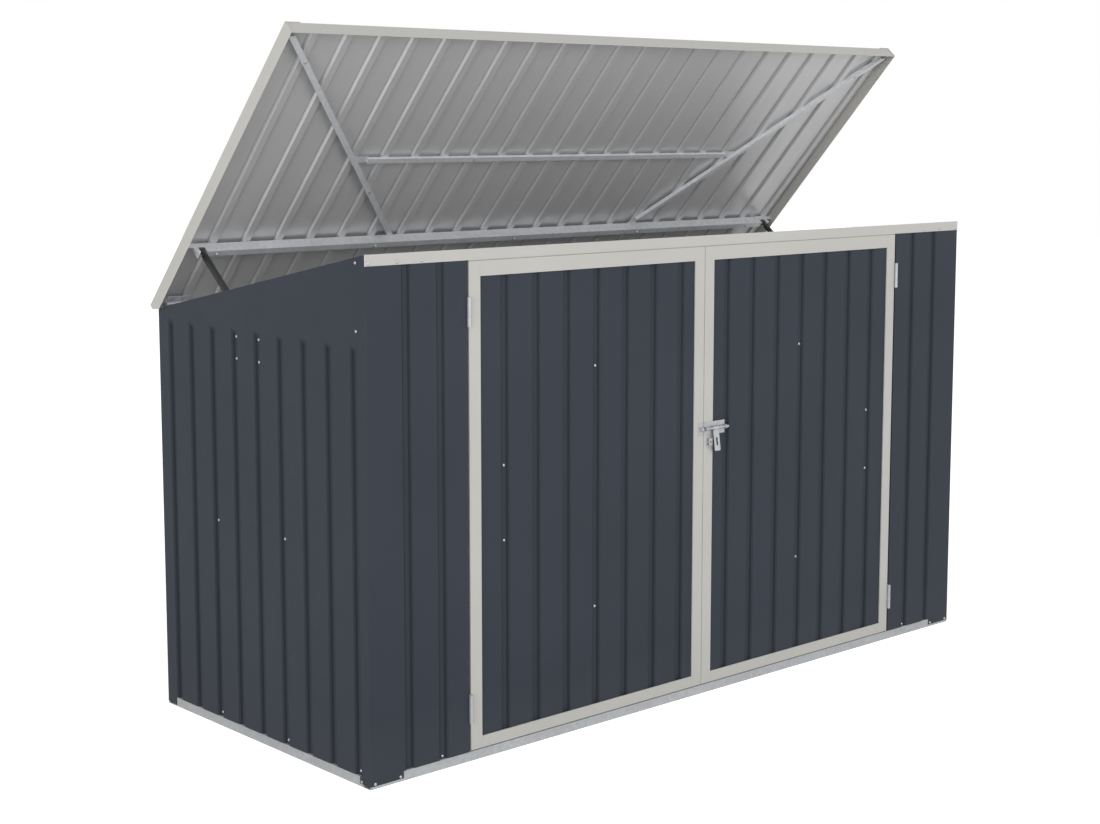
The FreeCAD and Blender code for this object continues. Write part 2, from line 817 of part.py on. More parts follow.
def make_door(name, grooves, flip):
    """All the pieces of one door under its name."""
    screws = door_screw_places(grooves)
    place = mirrored if flip else (lambda shape: shape)
    far_edge = door_edge + door_width
    save(name + "_sheet", place(drilled(door_sheet(grooves), screws)))
    save(name + "_hinge_stile", place(door_stile(door_edge, 1)))
    save(name + "_latch_stile", place(door_stile(far_edge, -1)))
    save(name + "_rails", [place(door_rail(door_top, -1, top_rail_width)),
                           place(door_rail(door_bottom, 1, bottom_rail_width))])
    save(name + "_braces", [place(drilled(door_brace(upper), screws)) for upper in (True, False)])
    save(name + "_hinge_leaves", [place(leaf) for leaf in door_leaves])
    save(name + "_screws", [place(screw(*s)) for s in screws])


left_grooves = groove_places(left_door_groove_first, front_groove_pitch, door_width - groove_edge_margin)
right_grooves = groove_places(right_door_groove_first, front_groove_pitch, door_width - groove_edge_margin)
make_door("left_door", left_grooves, False)
make_door("right_door", sorted(door_width - place for place in right_grooves), True)


# Slide bolt latch on the right door, with its keeper on the left door

bolt_y = front - latch_sheet - bolt_lift - bolt_radius
latch_start = door_edge_gap / 2
guide_bore = bolt_radius + bolt_guide_clearance
guide_outer = guide_bore + latch_sheet


def guide(start, width_of_guide):
    """An arch pressed up from the plate over the bolt, without its bore."""
    arch = rod((start, bolt_y, bolt_height), (1, 0, 0), width_of_guide, guide_outer)
    foot = block((start, bolt_y, bolt_height - guide_outer),
                 (start + width_of_guide, front - latch_sheet, bolt_height + guide_outer))
    return joined([arch, foot])


def bolt_path(start, length):
    """The room for the bolt under the arches."""
    bore = rod((start, bolt_y, bolt_height), (1, 0, 0), length, guide_bore)
    below = block((start, bolt_y, bolt_height - guide_bore),
                  (start + length, front - latch_sheet, bolt_height + guide_bore))
    return [bore, below]


def guided_plate(start, end, guide_starts):
    """A flat plate on the stiles with its arches."""
    plate = block((start, front - latch_sheet, latch_bottom), (end, front, latch_bottom + latch_plate_height))
    plate = joined([plate] + [guide(g, guide_width) for g in guide_starts])
    return less(plate, bolt_path(start - 1, end - start + 2))


handle_start = latch_start + guide_width + bolt_travel + collar_width + 0.5
handle_end = handle_start + handle_width
right_guide = handle_end + 2 * knuckle_gap + collar_width + 1
end_guide = latch_start + latch_plate_end - guide_width
save("latch_plate", guided_plate(latch_start, latch_start + latch_plate_end,
                                 [latch_start, right_guide, end_guide]))
keeper_start = -door_edge_gap / 2 - keeper_width
save("latch_keeper", guided_plate(keeper_start, keeper_start + keeper_width,
                                  [keeper_start + guide_width]))


def latch_bolt():
    """Round bolt with a rounded end and a collar each side of the handle's eye."""
    bar = rod((latch_start, bolt_y, bolt_height), (1, 0, 0), bolt_length, bolt_radius)
    tip = max(bar.Faces, key=lambda face: face.CenterOfMass.x)
    bar = bar.makeFillet(bolt_radius * 0.6, [tip.Edges[0]])
    collars = [rod((start, bolt_y, bolt_height), (1, 0, 0), collar_width, collar_radius)
               for start in (handle_start - knuckle_gap - collar_width, handle_end + knuckle_gap)]
    return joined([bar] + collars)


def latch_handle():
    """Flat arm that hangs from an eye round the bolt, leaning outwards, with a slot for a padlock."""
    eye_radius = bolt_radius + pin_clearance + handle_sheet
    eye = rod((handle_start, bolt_y, bolt_height), (1, 0, 0), handle_width, eye_radius)
    back = bolt_y + handle_sheet / 2
    face = bolt_y - handle_sheet / 2
    arm = block((handle_start, face, bolt_height - handle_drop), (handle_end, back, bolt_height))
    corners = [edge for edge in arm.Edges if edge.Length < handle_sheet + 0.01
               and edge.CenterOfMass.z < bolt_height - handle_drop + 0.01]
    arm = arm.makeFillet(handle_corner_radius, corners)
    middle = (handle_start + handle_end) / 2
    slot_middle = staple_bottom + staple_height / 2
    slot = block((middle - handle_slot_width / 2, face - 1, slot_middle - handle_slot_height / 2),
                 (middle + handle_slot_width / 2, back + 1, slot_middle + handle_slot_height / 2))
    arm = less(arm, [slot])
    arm.rotate(Vector(0, bolt_y, bolt_height), Vector(-1, 0, 0), handle_lean)
    bore = rod((handle_start - 1, bolt_y, bolt_height), (1, 0, 0), handle_width + 2,
               bolt_radius + pin_clearance)
    return less(joined([eye, arm]), [bore])


def latch_staple():
    """Low bridge on the stile; a padlock's shackle enters by its hole and leaves by its open side."""
    t = latch_sheet
    top = staple_bottom + staple_height
    peak = front - staple_proud
    section = [(front, staple_bottom), (front - t, staple_bottom), (front - t, staple_bottom + staple_foot),
               (peak, staple_bottom + staple_foot), (peak, top - staple_foot), (front - t, top - staple_foot),
               (front - t, top), (front, top), (front, top - staple_foot - t),
               (peak + t, top - staple_foot - t), (peak + t, staple_bottom + staple_foot + t),
               (front, staple_bottom + staple_foot + t)]
    middle = (handle_start + handle_end) / 2 - bolt_travel
    bridge = along_x(section, middle - staple_width / 2, middle + staple_width / 2)
    hole = rod((middle, peak - 1, staple_bottom + staple_height / 2), (0, 1, 0), t + 2, staple_hole_radius)
    return less(bridge, [hole])


save("latch_bolt", latch_bolt())
save("latch_handle", latch_handle())
save("latch_staple", latch_staple())


# Lid: built flat on its hinge axis, then tilted to where it rests

def lid_place(shape):
    """From run and drop, as minus Y and minus Z, to the lid's place at rest."""
    placed = shape.copy()
    placed.translate(Vector(0, lid_hinge_run, lid_hinge_drop))
    placed.rotate(Vector(0, 0, 0), Vector(1, 0, 0), -lid_tilt_at_rest)
    placed.translate(Vector(0, lid_hinge_y, lid_hinge_z))
    return placed


def lid_point(x, run, drop):
    """Where a point of the lid is at rest."""
    local = Vector(x, lid_hinge_run - run, lid_hinge_drop - drop)
    turned = Rotation(Vector(1, 0, 0), -lid_tilt_at_rest).multVec(local)
    return turned + Vector(0, lid_hinge_y, lid_hinge_z)


def lid_block(x_span, run_span, drop_span):
    """A flat box on the lid."""
    return block((x_span[0], -run_span[1], -drop_span[1]), (x_span[1], -run_span[0], -drop_span[0]))


web_inner_left = lid_left + lid_trim_sheet
front_web_inner = lid_run - lid_front_setback - lid_trim_sheet
lid_grooves = groove_places(lid_groove_first - lid_trim_sheet, lid_groove_pitch,
                            lid_width - 2 * lid_trim_sheet - lid_groove_margin)
crest_places = [web_inner_left + place for place in lid_grooves]
beam_face = crest_drop + beam_depth


def lid_sheet(low, high):
    """Grooved sheet of the lid between two lines of x, its grooves running front to rear."""
    grooves = [x for x in crest_places if low < x < high]
    section = ribbed_section(low, high, grooves)
    points = [(x, -lid_trim_sheet, -lid_sheet_drop - inwards) for x, inwards in section]
    return extruded(points, (0, lid_trim_sheet - front_web_inner, 0))


def lid_side_trim():
    """Left edge trim with a top flange; its rear lower corner is cut off."""
    t = lid_trim_sheet
    section = [(lid_left, 0), (lid_left + lid_trim_flange, 0), (lid_left + lid_trim_flange, -t),
               (lid_left + t, -t), (lid_left + t, -lid_trim_depth), (lid_left, -lid_trim_depth)]
    trim = along_y(section, -lid_run, 0)
    corner = [(1, -lid_trim_depth + lid_trim_chamfer), (1, -lid_trim_depth - 1),
              (-lid_trim_chamfer, -lid_trim_depth - 1), (-lid_trim_chamfer, -lid_trim_depth),
              (0, -lid_trim_depth + lid_trim_chamfer)]
    return less(trim, [along_x(corner, lid_left - 1, lid_left + t + 1)])


def lid_cross_trim(edge, inwards, trim_depth):
    """Front or rear edge trim between the side ones."""
    t = lid_trim_sheet
    web = edge + inwards * t
    flange = edge + inwards * lid_trim_flange
    section = [(edge, -t), (flange, -t), (flange, -2 * t), (web, -2 * t), (web, -trim_depth),
               (edge, -trim_depth)]
    return along_x([(-run, z) for run, z in section], web_inner_left, -web_inner_left)


beam_front_edge = beam_run + beam_width / 2
strap_front = Vector(left + strap_front_inset, -strap_corner_run, 0)
strap_rear = Vector(left + strap_rear_inset, -beam_front_edge, 0)
strap_run = (strap_rear - strap_front).normalize()
strap_foot_reach = (strap_rear - strap_front).Length + strap_foot_lap


def strap_x(run):
    """Middle of the left strap at a run."""
    share = (strap_corner_run - run) / (strap_corner_run - beam_front_edge)
    return strap_front.x + share * (strap_rear.x - strap_front.x)


def strap_bar(section, reach, run_span):
    """A stretch of the left strap with a section of side and drop pairs, cut off between two runs."""
    side = Vector(-strap_run.y, strap_run.x, 0)
    start = strap_front - strap_run * strap_width
    bar = extruded([start + side * along + Vector(0, 0, -drop) for along, drop in section],
                   strap_run * (reach + strap_width))
    return bar.common(lid_block((left, right), run_span, (0, lid_trim_depth))).Solids[0]


def lid_beam():
    """Deep channel across the lid, its rear flange screwed to the crests; the straps' feet tuck under it."""
    low = beam_run - beam_width / 2
    t = beam_sheet
    section = [(low - beam_flange, crest_drop), (low + t, crest_drop), (low + t, beam_face - t),
               (beam_front_edge - t, beam_face - t), (beam_front_edge - t, crest_drop),
               (beam_front_edge, crest_drop), (beam_front_edge, beam_face), (low, beam_face),
               (low, crest_drop + t), (low - beam_flange, crest_drop + t)]
    beam = along_x([(-run, -drop) for run, drop in section], left + beam_end_inset, right - beam_end_inset)
    side = strap_width / 2 + strap_gap
    slot = [(-side, crest_drop - 1), (side, crest_drop - 1), (side, crest_drop + strap_sheet + strap_gap),
            (-side, crest_drop + strap_sheet + strap_gap)]
    notch = strap_bar(slot, strap_foot_reach, (beam_run, beam_front_edge + 1))
    return less(beam, on_both_sides([notch]))


def lid_strap():
    """Left diagonal channel from a front corner to the beam, its rounded foot flattened and tucked under."""
    t = strap_sheet
    half = strap_width / 2
    foot_start = beam_front_edge + strap_foot_length
    channel = [(-half, crest_drop), (-half, strap_face), (half, strap_face), (half, crest_drop),
               (half - t, crest_drop), (half - t, strap_face - t), (-half + t, strap_face - t),
               (-half + t, crest_drop)]
    step = [(-half, crest_drop), (half, crest_drop), (half, strap_face), (-half, strap_face)]
    foot = [(-half, crest_drop), (half, crest_drop), (half, crest_drop + t), (-half, crest_drop + t)]
    foot_end = strap_front + strap_run * strap_foot_reach - Vector(0, 0, crest_drop + t)
    pieces = [strap_bar(channel, strap_foot_reach, (foot_start, strap_corner_run)),
              strap_bar(step, strap_foot_reach, (foot_start, foot_start + t)),
              strap_bar(foot, strap_foot_reach, (0, foot_start + t)),
              rod(foot_end, (0, 0, 1), t, half)]
    hole = rod((strap_x(strap_hole_run), -strap_hole_run, -strap_face - 1), (0, 0, 1), t + 2,
               strap_hole_radius)
    return less(joined(pieces), [hole])


def lid_crossbar():
    """Channel between the two straps with flattened ends that lie along the straps' sides."""
    t = frame_sheet
    low = crossbar_run - crossbar_width / 2
    high = crossbar_run + crossbar_width / 2
    end_low = crossbar_run - crossbar_end_width / 2
    end_high = crossbar_run + crossbar_end_width / 2
    clear = strap_width / 2 / abs(strap_run.y) + strap_gap
    start = strap_x(crossbar_run) + clear + crossbar_end_length
    section = [(low, crest_drop), (low, crossbar_face), (high, crossbar_face), (high, crest_drop),
               (high - t, crest_drop), (high - t, crossbar_face - t), (low + t, crossbar_face - t),
               (low + t, crest_drop)]
    end_plan = [(strap_x(end_high) + clear, -end_high), (strap_x(end_low) + clear, -end_low),
                (start + t, -end_low), (start + t, -end_high)]
    tongue = upright(end_plan, -crest_drop - t, -crest_drop)
    step = lid_block((start, start + t), (low, high), (crest_drop, crossbar_face))
    bar = along_x([(-run, -drop) for run, drop in section], start, -start)
    return joined([bar] + on_both_sides([tongue, step]))


# Lid hinges

def knuckle_spans(own):
    """Stretches of a lid hinge's length that belong to the wall leaf or the lid leaf."""
    third = lid_hinge_width / 3
    if own == "wall":
        return [(0, third - knuckle_gap), (2 * third + knuckle_gap, lid_hinge_width)]
    return [(third, 2 * third)]


def wall_leaf(start):
    """Leaf on the rear wall's outer face with the outer two knuckles."""
    plate = block((start, rear, wall_leaf_bottom),
                  (start + lid_hinge_width, rear + lid_leaf_sheet, lid_hinge_z))
    gap = [rod((start + a - knuckle_gap, lid_hinge_y, lid_hinge_z), (1, 0, 0), b - a + 2 * knuckle_gap,
               lid_knuckle_radius + knuckle_sweep_gap) for a, b in knuckle_spans("lid")]
    knuckles = [rod((start + a, lid_hinge_y, lid_hinge_z), (1, 0, 0), b - a, lid_knuckle_radius)
                for a, b in knuckle_spans("wall")]
    bore = rod((start - 1, lid_hinge_y, lid_hinge_z), (1, 0, 0), lid_hinge_width + 2,
               lid_pin_radius + pin_clearance)
    holes = [rod((x, rear - 1, wall_leaf_bottom + wall_leaf_hole_rise), (0, 1, 0), lid_leaf_sheet + 2,
                 leaf_hole_radius) for x in leaf_places]
    return drilled(less(joined([less(plate, gap)] + knuckles), [bore] + holes), wall_leaf_screws)


up = (0, 0, 1)
lid_leaf_screws = [((x, -lid_leaf_screw_run, -crest_drop - lid_leaf_sheet), up, lid_leaf_sheet + wall_inside)
                   for x in leaf_places]


def lid_leaf(start):
    """Leaf under the lid's crests with the middle knuckle."""
    plate = lid_block((start, start + lid_hinge_width), (lid_hinge_run - lid_knuckle_radius, lid_leaf_run),
                      (crest_drop, crest_drop + lid_leaf_sheet))
    a, b = knuckle_spans("lid")[0]
    axis = (start + a, -lid_hinge_run, -lid_hinge_drop)
    knuckle = rod(axis, (1, 0, 0), b - a, lid_knuckle_radius)
    neck = lid_block((start + a, start + b), (lid_hinge_run - lid_knuckle_radius, lid_hinge_run),
                     (crest_drop, lid_hinge_drop))
    bore = rod((start - 1, -lid_hinge_run, -lid_hinge_drop), (1, 0, 0), lid_hinge_width + 2,
               lid_pin_radius + pin_clearance)
    return drilled(less(joined([plate, neck, knuckle]), [bore]), lid_leaf_screws)


save("lid_hinge_wall_leaves", [wall_leaf(start) for start in lid_hinge_starts])
lid_pins = [rod((start, lid_hinge_y, lid_hinge_z), (1, 0, 0), lid_hinge_width, lid_pin_radius)
            for start in lid_hinge_starts]
save("lid_hinge_pins", lid_pins)


# Gas struts, left one; the right one is its mirror image

strut_x = left + strut_plane
eye_start = strut_x - strut_eye_width / 2
strut_top = lid_point(strut_x, strut_top_run, strut_top_drop)
strut_low = Vector(strut_x, front + strut_low_from_front, strut_low_height)
strut_line = (strut_low - strut_top).normalize()
strut_length = strut_top.distanceToPoint(strut_low)


def strut_rod_at(distance, length, radius):
    """A round stretch of the strut from a distance below its top pivot."""
    return Part.makeCylinder(radius, length, strut_top + strut_line * distance, strut_line)


def strut_eye(centre, neck_from, neck_to):
    """End fitting: an eye across the strut and a neck that meets it."""
    eye = rod((eye_start, centre.y, centre.z), (1, 0, 0), strut_eye_width, strut_eye_radius)
    neck = strut_rod_at(neck_from, neck_to - neck_from, strut_neck_radius)
    return joined([eye, neck])


def strut_barrel():
    """Cylinder of the strut, closed at the top and with a rod guide at its lower end."""
    tube = strut_rod_at(strut_eye_neck, barrel_length, barrel_radius)
    bore_start = strut_eye_neck + barrel_end
    bore = strut_rod_at(bore_start, barrel_length - barrel_end - barrel_guide, barrel_bore_radius)
    guide_bore_start = strut_eye_neck + barrel_length - barrel_guide - 1
    rod_hole = strut_rod_at(guide_bore_start, barrel_guide + 2, rod_radius + rod_clearance)
    pin_hole = rod((eye_start - 1, strut_top.y, strut_top.z), (1, 0, 0), strut_eye_width + 2,
                   strut_pin_radius + pin_clearance)
    barrel = joined([strut_eye(strut_top, 0, strut_eye_neck + 1), tube])
    return less(barrel, [bore, rod_hole, pin_hole])


def strut_rod():
    """Rod with its piston inside the barrel and an eye at its lower end."""
    piston_top = strut_eye_neck + barrel_length - barrel_guide - piston_length - 3
    piston = strut_rod_at(piston_top, piston_length, barrel_bore_radius - piston_clearance)
    shaft = strut_rod_at(piston_top, strut_length - strut_eye_neck + 2 - piston_top, rod_radius)
    eye = strut_eye(strut_low, strut_length - strut_eye_neck, strut_length)
    hole = rod((eye_start - 1, strut_low.y, strut_low.z), (1, 0, 0), strut_eye_width + 2, strut_pin_radius)
    return less(joined([piston, shaft, eye]), [hole])


def strut_wall_bracket():
    """Plate across two grooves with the stud that the rod's eye rides beside."""
    inner = left + wall_inside
    plate = block((inner, strut_low.y - wall_bracket_width / 2, strut_low_height - wall_bracket_height / 2),
                  (inner + wall_bracket_sheet, strut_low.y + wall_bracket_width / 2,
                   strut_low_height + wall_bracket_height / 2))
    stud = rod((inner, strut_low.y, strut_low.z), (1, 0, 0), eye_start - stud_gap - inner,
               strut_pin_radius + 1)
    return joined([plate, stud])


def lid_strut_bracket():
    """Cheek from the side trim over the beam's front wall, and the ear and pin that carry the strut."""
    t = lid_bracket_sheet
    x0 = eye_start - lid_bracket_gap - t
    x1 = x0 + t
    cheek_run = (beam_front_edge, beam_front_edge + t)
    cheek = lid_block((web_inner_left, left + lid_bracket_reach), cheek_run,
                      (crest_drop, crest_drop + lid_bracket_depth))
    apron = lid_block((left + lid_bracket_edge, x1), cheek_run, (crest_drop, beam_face))
    ear = lid_block((x0, x1), (strut_top_run - lid_bracket_ear, beam_front_edge + t),
                    (crest_drop, strut_top_drop + lid_bracket_nose))
    head = rod((x0 - pin_head_length, -strut_top_run, -strut_top_drop), (1, 0, 0), pin_head_length,
               pin_head_radius)
    pin = rod((x0, -strut_top_run, -strut_top_drop), (1, 0, 0), eye_start + strut_eye_width + 1 - x0,
              strut_pin_radius)
    return joined([cheek, apron, ear, head, pin])


left_wall_bracket = drilled(strut_wall_bracket(), strut_screws)
save("strut_wall_brackets", on_both_sides([left_wall_bracket]))
save("left_strut_barrel", strut_barrel())
save("left_strut_rod", strut_rod())
save("right_strut_barrel", mirrored(strut_barrel()))
save("right_strut_rod", mirrored(strut_rod()))


# The lid's pieces and screws, placed as it rests

def lid_screw(x, run, drop, length):
    """A screw driven up into the lid from below."""
    return ((x, -run, -drop), up, length)


def strap_screw(x):
    """A screw through a strap into the crest at that x; x is left of the middle."""
    share = (x - strap_front.x) / (strap_rear.x - strap_front.x)
    run = strap_corner_run - share * (strap_corner_run - beam_front_edge)
    return lid_screw(x, run, strap_face, strap_depth + sheet + screw_tip)


beam_screw_run = beam_run - (beam_width + beam_flange) / 2
beam_screws = [lid_screw(x, beam_screw_run, crest_drop + beam_sheet, beam_sheet + sheet + screw_tip)
               for x in crest_places[1:-2:4]]
tie_screws = [((x, -beam_front_edge, -beam_tie_drop), (0, 1, 0), beam_width + screw_tip)
              for x in crest_places[::5]]
beam_screws += tie_screws
left_strap_screws = [strap_screw(x) for x in crest_places[0:5:4]]
strap_screws = left_strap_screws + mirror_screws(left_strap_screws)
crossbar_screws = [lid_screw(x, crossbar_run, crossbar_face, crossbar_depth + sheet + screw_tip)
                   for x in crest_places[7:18:4]]
lid_screws = beam_screws + strap_screws + crossbar_screws + lid_leaf_screws

lap_lines = [crest_places[k] + lid_lap_offset for k in lid_lap_grooves]
sheet_edges = [web_inner_left] + lap_lines + [-web_inner_left]
lid_sheets = [lid_place(drilled(lid_sheet(low, high), lid_screws))
              for low, high in zip(sheet_edges, sheet_edges[1:])]
save("lid_sheets_left", lid_sheets[:2])
save("lid_sheets_right", lid_sheets[2:])
save("lid_side_trim_left", lid_place(lid_side_trim()))
save("lid_side_trim_right", mirrored(lid_place(lid_side_trim())))
save("lid_front_trim", lid_place(lid_cross_trim(lid_run - lid_front_setback, -1, lid_trim_depth)))
save("lid_rear_trim", lid_place(lid_cross_trim(0, 1, lid_rear_trim_depth)))
save("lid_beam", lid_place(drilled(lid_beam(), beam_screws)))
save("lid_straps", on_both_sides([lid_place(drilled(lid_strap(), strap_screws))]))
save("lid_crossbar", lid_place(drilled(lid_crossbar(), crossbar_screws)))
save("lid_strut_brackets", on_both_sides([lid_place(lid_strut_bracket())]))
save("lid_hinge_lid_leaves", [lid_place(lid_leaf(start)) for start in lid_hinge_starts])
save("lid_screws", [lid_place(screw(*s)) for s in lid_screws])


for name, solids in nodes.items():
    shape = solids[0] if len(solids) == 1 else Part.makeCompound(solids)
    shape.exportStep("parts/" + name + ".step")

closed_tilt = Rotation(Vector(1, 0, 0), -roof_slope)
top_closed = closed_tilt.multVec(Vector(strut_x, lid_hinge_run - strut_top_run,
                                        lid_hinge_drop - strut_top_drop))
top_closed = top_closed + Vector(0, lid_hinge_y, lid_hinge_z)
closed_line = strut_low - top_closed
turn_open = math.degrees(math.atan2(strut_line.z, strut_line.y))
turn_closed = math.degrees(math.atan2(closed_line.z, closed_line.y))
lid_turn = lid_tilt_at_rest - roof_slope
print("nodes", len(nodes))
print("lid turn to closed", round(lid_turn, 4), "degrees")
print("strut turn on the lid", round(turn_closed - turn_open - lid_turn, 4), "degrees")
print("strut stroke", round(strut_length - closed_line.Length, 4), "mm from", round(strut_length, 3))
print("strut line", [round(v, 6) for v in strut_line], "top", [round(v, 4) for v in strut_top])
print("door hinge axis", hinge_x, hinge_y, "bolt axis", bolt_y, bolt_height)
print("lid axis", lid_hinge_y, lid_hinge_z)
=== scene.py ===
import json
import math

import bmesh
import bpy
import numpy as np
from mathutils import Matrix, Vector


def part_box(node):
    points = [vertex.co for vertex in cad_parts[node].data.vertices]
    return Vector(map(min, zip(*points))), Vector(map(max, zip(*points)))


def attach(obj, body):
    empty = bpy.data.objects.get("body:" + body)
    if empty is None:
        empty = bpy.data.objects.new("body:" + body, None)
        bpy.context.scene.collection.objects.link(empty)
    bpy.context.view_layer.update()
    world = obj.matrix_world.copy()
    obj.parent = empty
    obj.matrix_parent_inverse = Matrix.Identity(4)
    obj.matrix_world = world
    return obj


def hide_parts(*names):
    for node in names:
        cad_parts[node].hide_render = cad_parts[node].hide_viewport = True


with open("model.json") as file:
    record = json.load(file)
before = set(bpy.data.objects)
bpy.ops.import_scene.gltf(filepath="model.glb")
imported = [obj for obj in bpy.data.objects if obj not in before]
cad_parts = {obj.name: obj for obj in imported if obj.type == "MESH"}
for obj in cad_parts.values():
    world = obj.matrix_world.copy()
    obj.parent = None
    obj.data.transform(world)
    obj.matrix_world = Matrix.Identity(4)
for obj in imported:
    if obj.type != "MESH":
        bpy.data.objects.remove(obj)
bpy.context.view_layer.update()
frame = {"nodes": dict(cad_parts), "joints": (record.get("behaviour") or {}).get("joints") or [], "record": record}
mm = 0.001

# Wheelie bin store in folded and ribbed coated steel. The frame is in metres: X along the front to the
# right, Y from the front to the rear, Z up from the ground. The dictionaries are in millimetres and degrees,
# and those of the stage and the camera in metres and degrees.


# A sRGB hex colour as the linear red, green, blue and alpha that shader sockets take.
def linearColour(hexText):
    shares = np.array([int(hexText[i:i + 2], 16) for i in (1, 3, 5)]) / 255
    linear = np.where(shares <= 0.04045, shares / 12.92, ((shares + 0.055) / 1.055) ** 2.4)
    return (*linear.tolist(), 1.0)


# Fills a node's sockets: each takes a value, a hex colour or another node's output.
def fillSockets(tree, node, sockets):
    for name, value in sockets.items():
        if isinstance(value, bpy.types.NodeSocket):
            tree.links.new(value, node.inputs[name])
        else:
            node.inputs[name].default_value = linearColour(value) if isinstance(value, str) else value


# Adds one node with its sockets and its settings.
def addNode(tree, kind, sockets=None, **settings):
    node = tree.nodes.new("ShaderNode" + kind)
    for name, value in settings.items():
        setattr(node, name, value)
    fillSockets(tree, node, sockets or {})
    return node


# An empty node tree with a Principled surface, its output and the object coordinates in metres.
def newMaterial(name):
    material = bpy.data.materials.new(name)
    material.use_nodes = True
    tree = material.node_tree
    tree.nodes.clear()
    surface = addNode(tree, "BsdfPrincipled")
    addNode(tree, "OutputMaterial", {"Surface": surface.outputs["BSDF"]})
    place = addNode(tree, "TexCoord").outputs["Object"]
    return material, tree, surface, place


# Materials

noiseBounds = (0.3, 0.7)  # most of a noise pattern lies between these values
# Reach in millimetres, samples and openness bounds of the painted shade in creases
paintedShadeValues = {"reach": 7, "samples": 8, "open": (0.76, 0.95)}


# Texture scale for features of a size in millimetres.
def perMetre(millimetres):
    return 1000 / millimetres


# A tone that drifts between two colours in soft clouds of a size in millimetres, and the clouds themselves.
def cloudedTone(tree, place, size, deep, light, detail=2.0):
    cloud = addNode(tree, "TexNoise", {"Vector": place, "Scale": perMetre(size), "Detail": detail})
    tone = addNode(tree, "Mix", {0: cloud.outputs["Fac"], 6: deep, 7: light}, data_type="RGBA")
    return tone.outputs[2], cloud.outputs["Fac"]


# A layer of relief over the one under it: noise with features of a size and a height in millimetres.
def reliefLayer(tree, place, size, height, detail=2.0, under=None):
    noise = addNode(tree, "TexNoise", {"Vector": place, "Scale": perMetre(size), "Detail": detail})
    bump = addNode(tree, "Bump", {"Height": noise.outputs["Fac"], "Strength": 1.0, "Distance": height * mm})
    if under is not None:
        tree.links.new(under, bump.inputs["Normal"])
    return bump.outputs["Normal"]


# A colour that turns towards a darker one where the sheet's own folds close in on a point: painted shade along
# the roots of the pressed grooves and in other inside corners.
def paintedShadeColour(tree, colour, dark, most):
    values = paintedShadeValues
    openness = addNode(tree, "AmbientOcclusion", {"Distance": values["reach"] * mm},
                       samples=values["samples"], only_local=True)
    shadeShare = addNode(tree, "MapRange", {"Value": openness.outputs["AO"], "From Min": values["open"][0],
                                     "From Max": values["open"][1], "To Min": most, "To Max": 0.0})
    return addNode(tree, "Mix", {0: shadeShare.outputs["Result"], 6: colour, 7: dark}, data_type="RGBA").outputs[2]


coilCoating = {
    "cloud": 420, "roughness": (0.40, 0.52), "gloss": 0.12, "ior": 1.5,
    "peel": 2.6, "peelHeight": 0.012, "canning": 260, "canningHeight": 0.35,
    "smudge": 75, "smudgeBounds": (0.52, 0.70), "smudgeRoughness": 0.06,
    "scratch": 3.2, "scratchBounds": (0.66, 0.74), "scratchStretch": 0.04, "scratchHeight": 0.006,
    "scratchLean": (0.12, 0.08, 0.0),  # radians
    "dust": "#77756E", "dustTop": 170, "dustMost": 0.10, "dustGrain": 7,
}
# The crease colour and its greatest share are painted shade: strong in the anthracite's groove roots, mild in the
# light grey's corners
anthraciteCoat = {"deep": "#2E333B", "light": "#363B44", "paintedShade": "#0B0D10", "paintedShadeMost": 0.95}
lightGreyCoat = {"deep": "#ADACA8", "light": "#B6B5B1", "paintedShade": "#8A897F", "paintedShadeMost": 0.3}


